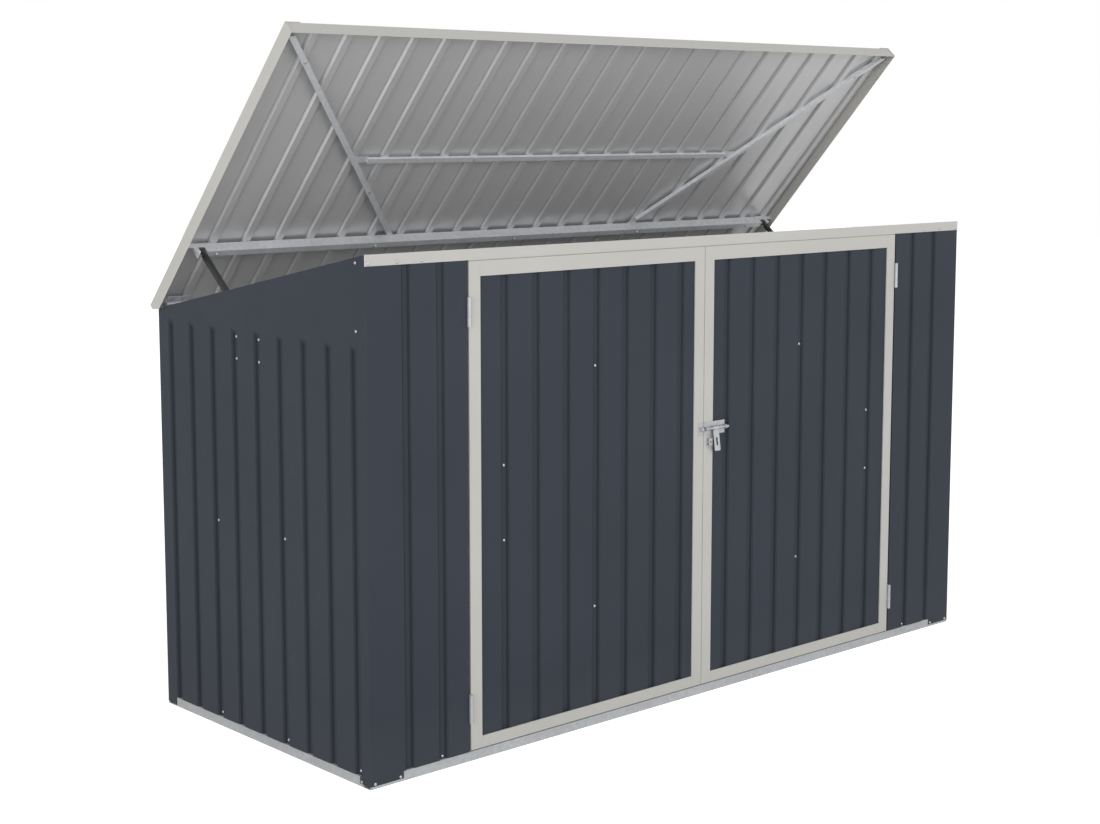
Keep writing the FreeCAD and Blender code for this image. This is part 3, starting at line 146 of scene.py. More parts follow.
# Polyester coil coating on galvanised steel, roller applied: smooth with a fine peel, half matt, the thin
# sheet under it drawn into shallow pans, faint smudges and hairlines from handling, a little dust low down.
def coilCoatedSteel(name, coat):
    values = coilCoating
    material, tree, surface, place = newMaterial(name)
    tone = cloudedTone(tree, place, values["cloud"], coat["deep"], coat["light"], 3.0)[0]
    split = addNode(tree, "SeparateXYZ", {"Vector": place})
    low = addNode(tree, "MapRange", {"Value": split.outputs["Z"], "From Min": values["dustTop"] * mm,
                                    "From Max": 0.0, "To Min": 0.0, "To Max": values["dustMost"]})
    grains = addNode(tree, "TexNoise", {"Vector": place, "Scale": perMetre(values["dustGrain"]),
                                       "Detail": 4.0})
    dust = addNode(tree, "Math", {0: low.outputs["Result"], 1: grains.outputs["Fac"]}, operation="MULTIPLY")
    dusty = addNode(tree, "Mix", {0: dust.outputs["Value"], 6: tone, 7: values["dust"]}, data_type="RGBA")
    smudge = addNode(tree, "TexNoise", {"Vector": place, "Scale": perMetre(values["smudge"]),
                                       "Detail": 5.0, "Distortion": 0.6})
    rub = addNode(tree, "MapRange", {"Value": smudge.outputs["Fac"], "From Min": values["smudgeBounds"][0],
                                    "From Max": values["smudgeBounds"][1], "To Min": 0.0,
                                    "To Max": values["smudgeRoughness"]})
    rough = addNode(tree, "MapRange", {"Value": grains.outputs["Fac"], "From Min": noiseBounds[0],
                                      "From Max": noiseBounds[1], "To Min": values["roughness"][0],
                                      "To Max": values["roughness"][1]})
    rubbed = addNode(tree, "Math", {0: rough.outputs["Result"], 1: rub.outputs["Result"]}, operation="ADD")
    pans = reliefLayer(tree, place, values["canning"], values["canningHeight"], 1.0)
    along = addNode(tree, "Mapping", {"Vector": place, "Scale": (1, 1, values["scratchStretch"]),
                                     "Rotation": values["scratchLean"]})
    hairline = addNode(tree, "TexNoise", {"Vector": along.outputs["Vector"],
                                         "Scale": perMetre(values["scratch"]), "Detail": 2.0})
    cut = addNode(tree, "MapRange", {"Value": hairline.outputs["Fac"],
                                    "From Min": values["scratchBounds"][0],
                                    "From Max": values["scratchBounds"][1]})
    hairlines = addNode(tree, "Bump", {"Height": cut.outputs["Result"], "Strength": 1.0,
                                      "Distance": values["scratchHeight"] * mm, "Normal": pans}, invert=True)
    peel = reliefLayer(tree, place, values["peel"], values["peelHeight"], under=hairlines.outputs["Normal"])
    # The base colour carries painted shade where the sheet's folds close in
    fillSockets(tree, surface, {
        "Base Color": paintedShadeColour(tree, dusty.outputs[2], coat["paintedShade"], coat["paintedShadeMost"]),
        "Roughness": rubbed.outputs["Value"], "Normal": peel,
        "Specular IOR Level": values["gloss"], "IOR": values["ior"]})
    return material


galvanising = {
    "dipped": ("#9A9C9F", "#BABCBF"), "strip": ("#B8BABE", "#D4D6DA"), "metallic": 0.3,
    "spangle": 9, "cloud": 140, "cloudShare": 0.65, "toneBounds": (0.2, 0.8), "roughness": (0.52, 0.34),
    "wave": 320, "waveHeight": 0.5, "grain": 1.6, "grainHeight": 0.010,
}


# Hot-dip galvanised sheet, skin passed: metallic light grey with small soft spangles that differ in tone
# and gloss, faint clouds from the dip, and shallow waves of the thin sheet.
def galvanisedSteel(name, tones):
    values = galvanising
    material, tree, surface, place = newMaterial(name)
    cells = addNode(tree, "TexVoronoi", {"Vector": place, "Scale": perMetre(values["spangle"])},
                    feature="F1")
    spangle = addNode(tree, "SeparateColor", {"Color": cells.outputs["Color"]})
    cloud = addNode(tree, "TexNoise", {"Vector": place, "Scale": perMetre(values["cloud"]), "Detail": 4.0})
    blend = addNode(tree, "Mix", {0: values["cloudShare"], 2: spangle.outputs["Red"],
                                 3: cloud.outputs["Fac"]}, data_type="FLOAT").outputs[0]
    tone = addNode(tree, "Mix", {0: blend, 6: tones[0], 7: tones[1]}, data_type="RGBA")
    rough = addNode(tree, "MapRange", {"Value": blend, "From Min": values["toneBounds"][0],
                                      "From Max": values["toneBounds"][1], "To Min": values["roughness"][0],
                                      "To Max": values["roughness"][1]})
    waves = reliefLayer(tree, place, values["wave"], values["waveHeight"], 1.0)
    grain = reliefLayer(tree, place, values["grain"], values["grainHeight"], under=waves)
    fillSockets(tree, surface, {"Base Color": tone.outputs[2], "Roughness": rough.outputs["Result"],
                                "Normal": grain, "Metallic": values["metallic"]})
    return material


zincPlating = {"deep": "#9EA1A5", "light": "#C6C8CB", "metallic": 1.0, "cloud": 12,
               "roughness": (0.22, 0.36), "grain": 0.8, "grainHeight": 0.006}


# Bright zinc plating on small pressed and turned parts: silvery, fairly glossy, slightly cloudy.
def zincPlatedSteel(name):
    values = zincPlating
    material, tree, surface, place = newMaterial(name)
    tone, cloud = cloudedTone(tree, place, values["cloud"], values["deep"], values["light"], 3.0)
    rough = addNode(tree, "MapRange", {"Value": cloud, "From Min": noiseBounds[0],
                                      "From Max": noiseBounds[1], "To Min": values["roughness"][0],
                                      "To Max": values["roughness"][1]})
    grain = reliefLayer(tree, place, values["grain"], values["grainHeight"])
    fillSockets(tree, surface, {"Base Color": tone, "Roughness": rough.outputs["Result"], "Normal": grain,
                                "Metallic": values["metallic"]})
    return material


strutLacquer = {"deep": "#101114", "light": "#1B1C20", "cloud": 25, "roughness": (0.28, 0.40), "ior": 1.5,
                "peel": 1.8, "peelHeight": 0.010}


# Stoved black lacquer on the gas strut cylinders: deep black, glossy with a fine peel.
def blackLacquer(name):
    values = strutLacquer
    material, tree, surface, place = newMaterial(name)
    tone, cloud = cloudedTone(tree, place, values["cloud"], values["deep"], values["light"])
    rough = addNode(tree, "MapRange", {"Value": cloud, "To Min": values["roughness"][0],
                                      "To Max": values["roughness"][1]})
    peel = reliefLayer(tree, place, values["peel"], values["peelHeight"])
    fillSockets(tree, surface, {"Base Color": tone, "Roughness": rough.outputs["Result"], "Normal": peel,
                                "IOR": values["ior"]})
    return material


# The crease colour and its greatest share are painted shade at the roots of the lid's ridges
backCoating = {
    "deep": "#C3C3C4", "light": "#CDCDCE", "paintedShade": "#5C5C5E", "paintedShadeMost": 0.6, "metallic": 0.45,
    "ior": 1.5, "cloud": 160, "roughness": (0.40, 0.30), "canning": 190, "canningHeight": 0.5,
    "peel": 2.2, "peelHeight": 0.010,
}


# Thin grey epoxy back coat on the inner faces of the coated sheets: lean and silky over zinc, so it is
# slightly metallic and cloudy, and it shows the sheet's shallow waves as soft patches of light. Its colour
# has painted shade where its folds close in, beside the ridges.
def backCoatedSteel(name):
    values = backCoating
    material, tree, surface, place = newMaterial(name)
    tone, cloud = cloudedTone(tree, place, values["cloud"], values["deep"], values["light"], 4.0)
    rough = addNode(tree, "MapRange", {"Value": cloud, "From Min": noiseBounds[0],
                                      "From Max": noiseBounds[1], "To Min": values["roughness"][0],
                                      "To Max": values["roughness"][1]})
    pans = reliefLayer(tree, place, values["canning"], values["canningHeight"], 1.0)
    peel = reliefLayer(tree, place, values["peel"], values["peelHeight"], under=pans)
    fillSockets(tree, surface, {
        "Base Color": paintedShadeColour(tree, tone, values["paintedShade"], values["paintedShadeMost"]),
        "Roughness": rough.outputs["Result"], "Normal": peel, "Metallic": values["metallic"],
        "IOR": values["ior"]})
    return material


finishes = {
    "backCoat": backCoatedSteel("grey_epoxy_back_coat"),
    "anthracite": coilCoatedSteel("anthracite_coil_coating", anthraciteCoat),
    "lightGrey": coilCoatedSteel("light_grey_coil_coating", lightGreyCoat),
    "galvanised": galvanisedSteel("hot_dip_galvanised_sheet", galvanising["dipped"]),
    "freshGalvanised": galvanisedSteel("pre_galvanised_strip", galvanising["strip"]),
    "zinc": zincPlatedSteel("bright_zinc_plating"),
    "black": blackLacquer("black_strut_lacquer"),
}
print("finishes mixed:", len(finishes))


# Shared shapes

shapeValues = {"sharpFrom": 35, "bendSteps": 5, "bendShare": 0.48, "merge": 0.002}
bodies = frame["record"]["behaviour"]["bodies"]
bodyOfNode = {node: body for body, members in bodies.items() for node in members}


# Puts a mesh into the scene as a finished piece: it takes the place of its node and rides on its body.
def placePiece(name, mesh, node):
    mesh.shade_smooth()
    mesh.set_sharp_from_angle(angle=math.radians(shapeValues["sharpFrom"]))
    piece = bpy.data.objects.new(name, mesh)
    bpy.context.scene.collection.objects.link(piece)
    weighted = piece.modifiers.new("even shading", "WEIGHTED_NORMAL")
    weighted.keep_sharp = True
    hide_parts(node)
    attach(piece, bodyOfNode[node])
    return piece


# A node's mesh as a copy to work on, its loose triangles joined at their corners.
def mergedCopy(node):
    work = bmesh.new()
    work.from_mesh(frame["nodes"][node].data)
    bmesh.ops.remove_doubles(work, verts=work.verts, dist=shapeValues["merge"] * mm)
    return work


# A line folded like sheet: every corner becomes an arc. The arc starts radius * tan(turn / 2) before the
# corner, at most bendShare of the shorter run, and its points are the start turned about the arc's centre.
def foldedLine(corners, radius):
    corners = np.asarray(corners, float)
    runs = np.diff(corners, axis=0)
    lengths = np.linalg.norm(runs, axis=1)
    heading = runs / lengths[:, None]
    before, after = heading[:-1], heading[1:]
    turn = np.arctan2(before[:, 0] * after[:, 1] - before[:, 1] * after[:, 0], (before * after).sum(1))
    half = np.tan(np.abs(turn) / 2)
    reach = np.minimum(radius * half, shapeValues["bendShare"] * np.minimum(lengths[:-1], lengths[1:]))
    bend = (reach / half)[:, None]
    start = corners[1:-1] - before * reach[:, None]
    centre = start + np.stack([-before[:, 1], before[:, 0]], 1) * np.sign(turn)[:, None] * bend
    angle = turn[:, None] * np.linspace(0, 1, shapeValues["bendSteps"])
    arm = (start - centre)[:, None]
    arc = np.stack([arm[..., 0] * np.cos(angle) - arm[..., 1] * np.sin(angle),
                    arm[..., 0] * np.sin(angle) + arm[..., 1] * np.cos(angle)], -1) + centre[:, None]
    return np.concatenate([corners[:1], arc.reshape(-1, 2), corners[-1:]])


# Carries a folded line of two coordinates along a straight run: point = line(i) + run(j).
# The three axes name which of x, y and z take the line's first and second coordinate and the run.
def carried(line, run, axes=(0, 1, 2)):
    grid = np.zeros((len(line), len(run), 3))
    grid[..., axes[0]] = line[:, :1]
    grid[..., axes[1]] = line[:, 1:]
    grid[..., axes[2]] = run
    return grid


# A grid of points from its three coordinates, each given along the rows, the columns or both.
def gridOf(x, y, z):
    return np.stack(np.broadcast_arrays(x, y, z), -1)


# Unit normals of a grid of points: the cross product of its two directions.
def gridNormals(grid):
    normals = np.cross(np.gradient(grid, axis=0), np.gradient(grid, axis=1))
    return normals / np.linalg.norm(normals, axis=2, keepdims=True)


# A smooth step from 0 to 1 with level ends: 3 s^2 - 2 s^3 of the share s.
def smoothStep(share):
    share = np.clip(share, 0, 1)
    return share * share * (3 - 2 * share)


sheetValues = {"thickness": 0.8, "foldRadius": 1.8}


# A sheet with thickness from grids of its outer face. The inner face is the outer one moved by the
# thickness towards `inside`, the sign of the grid normal that points into the metal; the rim joins them.
# The outer face is anthracite, and the inner face and the rim have the back coat.
def sheetMesh(name, sheets):
    points, faces, sides = [], [], []
    count = 0
    for outer, inside in sheets:
        rows, columns = outer.shape[:2]
        inner = outer + gridNormals(outer) * sheetValues["thickness"] * mm * inside
        index = np.arange(rows * columns).reshape(rows, columns) + count
        corners = [index[:-1, :-1], index[:-1, 1:], index[1:, 1:], index[1:, :-1]]
        quads = np.stack(corners, -1).reshape(-1, 4)
        border = np.concatenate([index[:, 0], index[-1, 1:], index[-2::-1, -1], index[0, -2::-1]])
        step = rows * columns
        rim = np.stack([border[:-1], border[1:], border[1:] + step, border[:-1] + step], -1)
        shell = np.concatenate([quads, quads[:, ::-1] + step, rim])
        faces.append(shell if inside > 0 else shell[:, ::-1])
        sides.append(np.repeat([0, 1, 1], [len(quads), len(quads), len(rim)]))
        points += [outer.reshape(-1, 3), inner.reshape(-1, 3)]
        count += 2 * step
    mesh = bpy.data.meshes.new(name)
    mesh.from_pydata(np.concatenate(points).tolist(), [], np.concatenate(faces).tolist())
    mesh.materials.append(finishes["anthracite"])
    mesh.materials.append(finishes["backCoat"])
    mesh.polygons.foreach_set("material_index", np.concatenate(sides))
    mesh.update()
    return mesh


# Places a coated sheet piece, one or more sheets, instead of its node.
def placeSheets(name, sheets, node):
    placePiece(name, sheetMesh(name, sheets), node)


# The left piece from its sheets and the right piece from their mirror images in the middle plane.
def placeBothSides(name, leftSheets, node):
    rightSheets = [(outer * [-1, 1, 1], -inside) for outer, inside in leftSheets]
    for side, sheets in (("left", leftSheets), ("right", rightSheets)):
        placeSheets(name + "_" + side, sheets, node + "_" + side)


# Pressed grooves

grooveValues = {"depth": 8.0, "mouth": 30.0, "floor": 20.0, "mouthRadius": 1.8, "edgeMargin": 60.0}


# Groove centres from a first one, a pitch apart, that end before the last place.
def grooveCentres(first, pitch, last):
    return np.arange(first, last, pitch)


# Corners of a ribbed sheet's outer face, along and inwards: four to each groove, at its mouth and floor.
def grooveCorners(centres):
    mouth, floor = grooveValues["mouth"], grooveValues["floor"]
    along = centres[:, None] + np.array([-mouth, -floor, floor, mouth]) / 2
    inwards = np.array([0, grooveValues["depth"], grooveValues["depth"], 0])
    return np.stack(np.broadcast_arrays(along, inwards), -1).reshape(-1, 2)


# A ribbed sheet's outer face from one end to the other, along and inwards, with its bends rounded.
def ribbedLine(start, centres, end):
    line = np.concatenate([[[start, 0]], grooveCorners(centres), [[end, 0]]])
    return foldedLine(line, grooveValues["mouthRadius"])


# Walls

cornerLow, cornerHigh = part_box("front_corner_panel_left")
rearLow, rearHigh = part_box("rear_wall_left")
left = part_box("side_wall_left")[0].x
front = cornerLow.y
rear = rearHigh.y
railTop = rearLow.z
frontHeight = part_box("lintel")[1].z

cornerValues = {"first": 124.5, "pitch": 107.2, "wrap": 24.0, "jambReturn": 30.0, "tabFront": 103.0,
                "tabSide": 43.0}


# Height of the sloping top edge: a straight line from the front height to the rear height.
def roofHeight(y):
    return frontHeight + (rearHigh.z - frontHeight) * (y - front) / (rear - front)


# Carries a line given in millimetres from the left front corner up from one height to another.
def raisedFromCorner(line, low, high):
    return carried(line * mm + [left, front], np.array([low, high]))


# Front corner, two folded lines carried up: the grooved panel wraps round to the side and returns into the
# doorway, and a smaller tab goes on below it, in front of the base rail.
def frontCorner():
    values, fold = cornerValues, sheetValues["foldRadius"]
    width = (cornerHigh.x - cornerLow.x) / mm
    centres = grooveCentres(values["first"], values["pitch"], width - grooveValues["edgeMargin"])
    line = np.concatenate([[[0, values["wrap"]], [0, 0]], grooveCorners(centres),
                           [[width, 0], [width, values["jambReturn"]]]])
    radii = np.full(len(line) - 2, grooveValues["mouthRadius"])
    radii[[0, -1]] = fold
    tabLine = foldedLine([[0, values["tabSide"]], [0, 0], [values["tabFront"], 0]], fold)
    return [(raisedFromCorner(foldedLine(line, radii), railTop, cornerHigh.z), -1),
            (raisedFromCorner(tabLine, cornerLow.z, railTop), -1)]


placeBothSides("front_corner_folded", frontCorner(), "front_corner_panel")
print("front corners folded")

sideWallValues = {"first": 48.6, "pitch": 104.8, "grooveTop": 1097.0, "ease": 26.0, "easeRows": 9,
                  "flange": 15.0, "gableRows": 4}


# Side wall: along(i) and inwards(i) follow the rib line, height(j) runs up to the sloping edge; the ribs
# fade out by a smooth step below the gable, and the last rows turn over the edge into the flange.
def sideWall():
    values = sideWallValues
    depth = (rear - front) / mm
    centres = grooveCentres(values["first"], values["pitch"], depth - grooveValues["edgeMargin"])
    line = ribbedLine(cornerValues["wrap"], centres, depth - cornerValues["wrap"]) * mm
    y = front + line[:, :1]
    top = roofHeight(y)
    grooveTop, ease = values["grooveTop"] * mm, values["ease"] * mm
    height = np.concatenate([[railTop], np.linspace(grooveTop - ease, grooveTop, values["easeRows"])])
    fold = sheetValues["foldRadius"] * mm
    turn = np.linspace(0, math.pi / 2, shapeValues["bendSteps"])
    lowRows = gridOf(left + line[:, 1:] * smoothStep((grooveTop - height) / ease), y, height)
    foldRows = gridOf(left + fold * (1 - np.cos(turn)), y, top - fold * (1 - np.sin(turn)))
    flange = gridOf(left + values["flange"] * mm, y, top)
    return np.concatenate([lowRows, foldRows, flange], 1)


# The gable's flat stretch beside the lintel: y(i) crosses the corner's wrap, height(j) ends at the slope.
def gableFront():
    share = np.linspace(0, 1, sideWallValues["gableRows"])
    y = front + cornerValues["wrap"] * mm * share[:, None]
    return gridOf(left, y, cornerHigh.z + (roofHeight(y) - cornerHigh.z) * share)


placeBothSides("side_wall_ribbed", [(sideWall(), 1), (gableFront(), 1)], "side_wall")

rearWallValues = {"pitch": 106.6, "margin": 70.0}


# Rear wall: a ribbed line carried up, with as many grooves as fit between the margins, set in the middle.
def rearWall():
    width = (rearHigh.x - rearLow.x) / mm
    pitch = rearWallValues["pitch"]
    count = (width - 2 * rearWallValues["margin"]) // pitch
    centres = (width - pitch * count) / 2 + pitch * np.arange(count + 1)
    line = ribbedLine(0, centres, width) * mm * [1, -1] + [rearLow.x, rear]
    return carried(line, np.array([railTop, rearHigh.z]))


placeBothSides("rear_wall_ribbed", [(rearWall(), 1)], "rear_wall")
print("walls ribbed")


# Doors

doorValues = {"firstLeft": 121.8, "firstRight": 97.4, "pitch": 107.2, "frameSheet": 1.2}
doorWidth = (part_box("left_door_latch_stile")[1].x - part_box("left_door_hinge_stile")[0].x) / mm


# One door's sheet: a ribbed line carried up; its grooves are measured from the left edge of the door.
def doorSheet(node, first):
    low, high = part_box(node)
    centres = grooveCentres(first, doorValues["pitch"], doorWidth - grooveValues["edgeMargin"])
    line = ribbedLine(0, centres - doorValues["frameSheet"], (high.x - low.x) / mm) * mm + [low.x, low.y]
    sheet = carried(line, np.array([low.z, high.z]))
    placeSheets(node.replace("sheet", "ribbed_sheet"), [(sheet, -1)], node)


doorSheet("left_door_sheet", doorValues["firstLeft"])
doorSheet("right_door_sheet", doorValues["firstRight"])
print("door sheets ribbed")


# Lid

lidValues = {
    "tilt": 47.6, "hingeRun": 22.0, "hingeDrop": 20.0, "sheetDrop": 2.4, "ribFirst": 97.4, "ribPitch": 106.6,
    "ribMargin": 30.0, "trimSheet": 1.2, "frontSetback": 1.8, "run": 1006.9, "runRows": 5, "ribsToSheet": 6,
    "lap": 29.5, "lapRise": 0.9, "lapEase": 25.0,
}
lidAxis = next(joint["pos_m"] for joint in frame["joints"] if joint["name"] == "lid_hinge")
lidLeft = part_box("lid_side_trim_left")[0].x / mm
lidRibs = lidLeft + grooveCentres(lidValues["ribFirst"], lidValues["ribPitch"],
                                  -2 * lidLeft - lidValues["ribMargin"])


# A grid of x, run and drop in millimetres, put where the lid rests: turned about the hinge axis by the tilt.
def lidPlaced(grid):
    tilt = math.radians(lidValues["tilt"])
    back = (lidValues["hingeRun"] - grid[..., 1]) * mm
    up = (lidValues["hingeDrop"] - grid[..., 2]) * mm
    return gridOf(grid[..., 0] * mm, lidAxis[1] + back * math.cos(tilt) + up * math.sin(tilt),
                  lidAxis[2] - back * math.sin(tilt) + up * math.cos(tilt))


# A lid sheet from one line of x to another: x(i) and drop(i) follow the rib line, run(j) goes front to rear.
# A lapped sheet starts one thickness higher, and a smooth step brings it down after the lap.
def lidSheet(start, end, lapped):
    values = lidValues
    line = ribbedLine(start, lidRibs[(lidRibs > start) & (lidRibs < end)], end)
    landed = smoothStep((line[:, 0] - start - 2 * values["lap"]) / values["lapEase"])
    drop = values["sheetDrop"] + line[:, 1] - values["lapRise"] * (1 - landed) * lapped
    run = np.linspace(values["trimSheet"], values["run"] - values["frontSetback"] - values["trimSheet"],
                      values["runRows"])
    return lidPlaced(carried(np.stack([line[:, 0], drop], -1), run, (0, 2, 1)))


seams = lidRibs[lidValues["ribsToSheet"] - 1::lidValues["ribsToSheet"]]
starts = np.concatenate([[lidLeft + lidValues["trimSheet"]], seams - lidValues["lap"]])
ends = np.concatenate([seams + lidValues["lap"], [-lidLeft - lidValues["trimSheet"]]])
lidSheets = [(lidSheet(start, end, start > starts[0]), 1) for start, end in zip(starts, ends)]
half = len(lidSheets) // 2
placeSheets("lid_ribbed_sheets_left", lidSheets[:half], "lid_sheets_left")
placeSheets("lid_ribbed_sheets_right", lidSheets[half:], "lid_sheets_right")
print("lid sheets ribbed:", len(lidSheets))


# Folded, pressed and turned parts that keep the frame's shape

# Narrow lips that nearly close the gaps under the lintel and between the doors: the lowest and the highest
# corner of a box, for the node that carries it.
lipValues = {"setback": 1.0, "depth": 7.0, "clear": 0.6, "hold": 0.6}
setback, depth, clear, hold = (lipValues[name] * mm for name in ("setback", "depth", "clear", "hold"))
stileLow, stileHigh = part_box("left_door_latch_stile")
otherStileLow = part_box("right_door_latch_stile")[0]
opening = -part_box("left_door_hinge_stile")[0].x
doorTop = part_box("left_door_rails")[1].z
lips = {
    "lintel": ((-opening, front + setback, doorTop + clear), (opening, front + depth, cornerHigh.z + hold)),
    "left_door_latch_stile": ((stileHigh.x - hold, stileLow.y + setback, stileLow.z),
                              (otherStileLow.x - clear, stileLow.y + depth, stileHigh.z)),
}

edgeValues = {"flatTo": 0.5, "roundFrom": 40, "segments": 2}
edgeWidths = {"lightGrey": 0.5, "galvanised": 0.45, "freshGalvanised": 0.4, "zinc": 0.35, "black": 0.5,
              "anthracite": 0.3}
nodeFinish = {
    "anthracite": ["rear_corner_panels"],
    "lightGrey": ["lintel", "left_door_hinge_stile", "left_door_latch_stile", "left_door_rails",
                  "right_door_hinge_stile", "right_door_latch_stile", "right_door_rails",
                  "lid_side_trim_left", "lid_side_trim_right", "lid_front_trim", "lid_rear_trim"],
    "galvanised": ["base_rail_front", "base_rail_rear", "base_rail_left", "base_rail_right",
                   "front_corner_posts", "rear_corner_posts", "rear_middle_post", "jamb_posts", "mid_rails",
                   "rear_top_rail", "side_top_rails", "left_door_braces", "right_door_braces",
                   "door_hinge_frame_leaves", "left_door_hinge_leaves", "right_door_hinge_leaves",
                   "latch_plate", "latch_keeper", "latch_handle", "latch_staple"],
    "freshGalvanised": ["lid_beam", "lid_straps", "lid_crossbar", "lid_strut_brackets",
                        "strut_wall_brackets", "lid_hinge_wall_leaves", "lid_hinge_lid_leaves"],
    "zinc": ["door_hinge_pins", "lid_hinge_pins", "latch_bolt", "left_strut_rod", "right_strut_rod"],
    "black": ["left_strut_barrel", "right_strut_barrel"],
}


# A copy of a node with its flat triangles joined to whole faces, its lip if it has one, and rounded edges.
def softenedPiece(node, finish):
    work = mergedCopy(node)
    bmesh.ops.dissolve_limit(work, angle_limit=math.radians(edgeValues["flatTo"]), verts=work.verts,
                             edges=work.edges)
    if node in lips:
        low, high = (Vector(corner) for corner in lips[node])
        place = Matrix.Translation((low + high) / 2) @ Matrix.Diagonal(high - low).to_4x4()
        bmesh.ops.create_cube(work, size=1.0, matrix=place)
    mesh = bpy.data.meshes.new(node + "_softened")
    work.to_mesh(mesh)
    work.free()
    mesh.materials.append(finishes[finish])
    piece = placePiece(node + "_rounded", mesh, node)
    bevel = piece.modifiers.new("rounded edges", "BEVEL")
    bevel.width = edgeWidths[finish] * mm
    bevel.segments = edgeValues["segments"]
    bevel.limit_method = "ANGLE"
    bevel.angle_limit = math.radians(edgeValues["roundFrom"])
    piece.modifiers.move(1, 0)


for finish, members in nodeFinish.items():
    for node in members:
        softenedPiece(node, finish)
print("rounded parts:", sum(len(members) for members in nodeFinish.values()))


# Screws

screwNodes = ("wall_screws", "left_door_screws", "right_door_screws", "lid_screws")
screwValues = {
    "headRadius": 4.0, "headHeight": 2.2, "rimHeight": 0.75, "rimChamfer": 0.15, "shankRadius": 1.9,
    "shankTop": 0.1, "point": 1.5, "pointShare": 0.02, "threadPitch": 1.3, "threadDepth": 0.4,
    "rowsPerTurn": 6, "leastRows": 8, "spokes": 48, "domeRows": 22, "domeRowPower": 0.9, "domePower": 2.6,
    "crossReach": 2.3, "crossArm": 0.62, "crossDepth": 1.25, "crossEdge": 0.22, "crossTaper": (1.15, 0.55),
    "tipWithin": 0.01, "wideFrom": 0.9, "seed": 11, "spins": 400,
}


# The corner points of every loose part of a node, in millimetres.
def looseParts(node):
    work = mergedCopy(node)
    parts, seen = [], set()
    for first in work.verts:
        if first.index in seen:
            continue
        part, ahead = [], [first]
        seen.add(first.index)
        while ahead:
            corner = ahead.pop()
            part.append(corner.co)
            beside = [edge.other_vert(corner) for edge in corner.link_edges]
            fresh = [other for other in beside if other.index not in seen]
            seen.update(other.index for other in fresh)
            ahead += fresh
        parts.append(np.array(part) / mm)
    work.free()
    return parts


# Distances of points from the middle of their outline, seen along a direction.
def spreadAcross(points, direction):
    flat = points - (points @ direction)[:, None] * direction
    return np.linalg.norm(flat - (flat.min(0) + flat.max(0)) / 2, axis=1)


# Where a loose screw sits: its head's underside, drive direction and length in millimetres. Its direction is
# the one seen along which the part is a circle of the head's radius, and its head is the wide end.
def screwPlace(points):
    head = screwValues["headRadius"]
    tilt = math.radians(lidValues["tilt"])
    directions = np.array([[1, 0, 0], [0, 1, 0], [0, math.sin(tilt), math.cos(tilt)]])
    misfits = [abs(spreadAcross(points, direction).max() - head) for direction in directions]
    direction = directions[int(np.argmin(misfits))]
    along = points @ direction
    flat = points - along[:, None] * direction
    middle = flat[along > along.max() - screwValues["tipWithin"]].mean(0)
    wide = np.linalg.norm(flat - middle, axis=1) > screwValues["wideFrom"] * head
    if along[wide].mean() > (along.min() + along.max()) / 2:
        direction, along = -direction, -along
    start = along.min() + screwValues["headHeight"]
    return middle + direction * start, direction, along.max() - start


# How deep the cross is sunk into the head, from 0 outside it to crossDepth: each arm is a box whose edges
# follow a logistic curve, and the deeper arm counts; it is shallower away from the middle.
def crossSink(across, upward, radius):
    values = screwValues

    def within(distance, limit):
        return 1 / (1 + np.exp(-(limit - np.abs(distance)) / values["crossEdge"] * 3))

    arms = np.maximum(within(across, values["crossReach"]) * within(upward, values["crossArm"]),
                      within(upward, values["crossReach"]) * within(across, values["crossArm"]))
    deep, fall = values["crossTaper"]
    return values["crossDepth"] * arms * np.clip(deep - fall * radius / values["crossReach"], 0, 1)


# One pan head screw from its tip to the middle of its head: point = place + direction * height(i, j) +
# radius(i, j) * (cos a(j), sin a(j)) across it. The thread's radius is a sawtooth of height less turn; the
# head's top is a low dome with a cross sunk into it, deepest where both arms meet.
def screwGrid(place, direction, length, spin):
    values = screwValues
    head, rim = values["headRadius"], values["rimHeight"]
    angle = np.linspace(0, 2 * math.pi, values["spokes"] + 1)[None, :]
    rows = max(int(length / values["threadPitch"] * values["rowsPerTurn"]), values["leastRows"])
    height = np.linspace(length, values["shankTop"], rows)[:, None]
    turn = (height / values["threadPitch"] - angle / (2 * math.pi)) % 1
    taper = np.clip((length - height) / values["point"], values["pointShare"], 1)
    shank = (values["shankRadius"] - values["threadDepth"] * np.abs(2 * turn - 1)) * taper
    chamfer = values["rimChamfer"]
    rimRadius = np.array([values["shankRadius"], head - chamfer, head, head])[:, None] + 0 * angle
    rimHeight = np.array([0, 0, -chamfer, -rim])[:, None] + 0 * angle
    share = np.linspace(0, 1, values["domeRows"])[1:, None]
    radius = head * np.cos(share * math.pi / 2) ** values["domeRowPower"] + 0 * angle
    low = np.clip(1 - (radius / head) ** values["domePower"], 0, 1)
    dome = rim + (values["headHeight"] - rim) * np.sqrt(low)
    sink = crossSink(radius * np.cos(angle), radius * np.sin(angle), radius)
    allRadius = np.concatenate([shank, rimRadius, radius])
    allHeight = np.concatenate([height + 0 * angle, rimHeight, sink - dome])
    side = np.cross(direction, [0.0, 0.0, 1.0])
    side = side / np.linalg.norm(side)
    other = np.cross(direction, side)
    return (place + direction * allHeight[..., None] + side * (allRadius * np.cos(angle + spin))[..., None]
            + other * (allRadius * np.sin(angle + spin))[..., None]) * mm


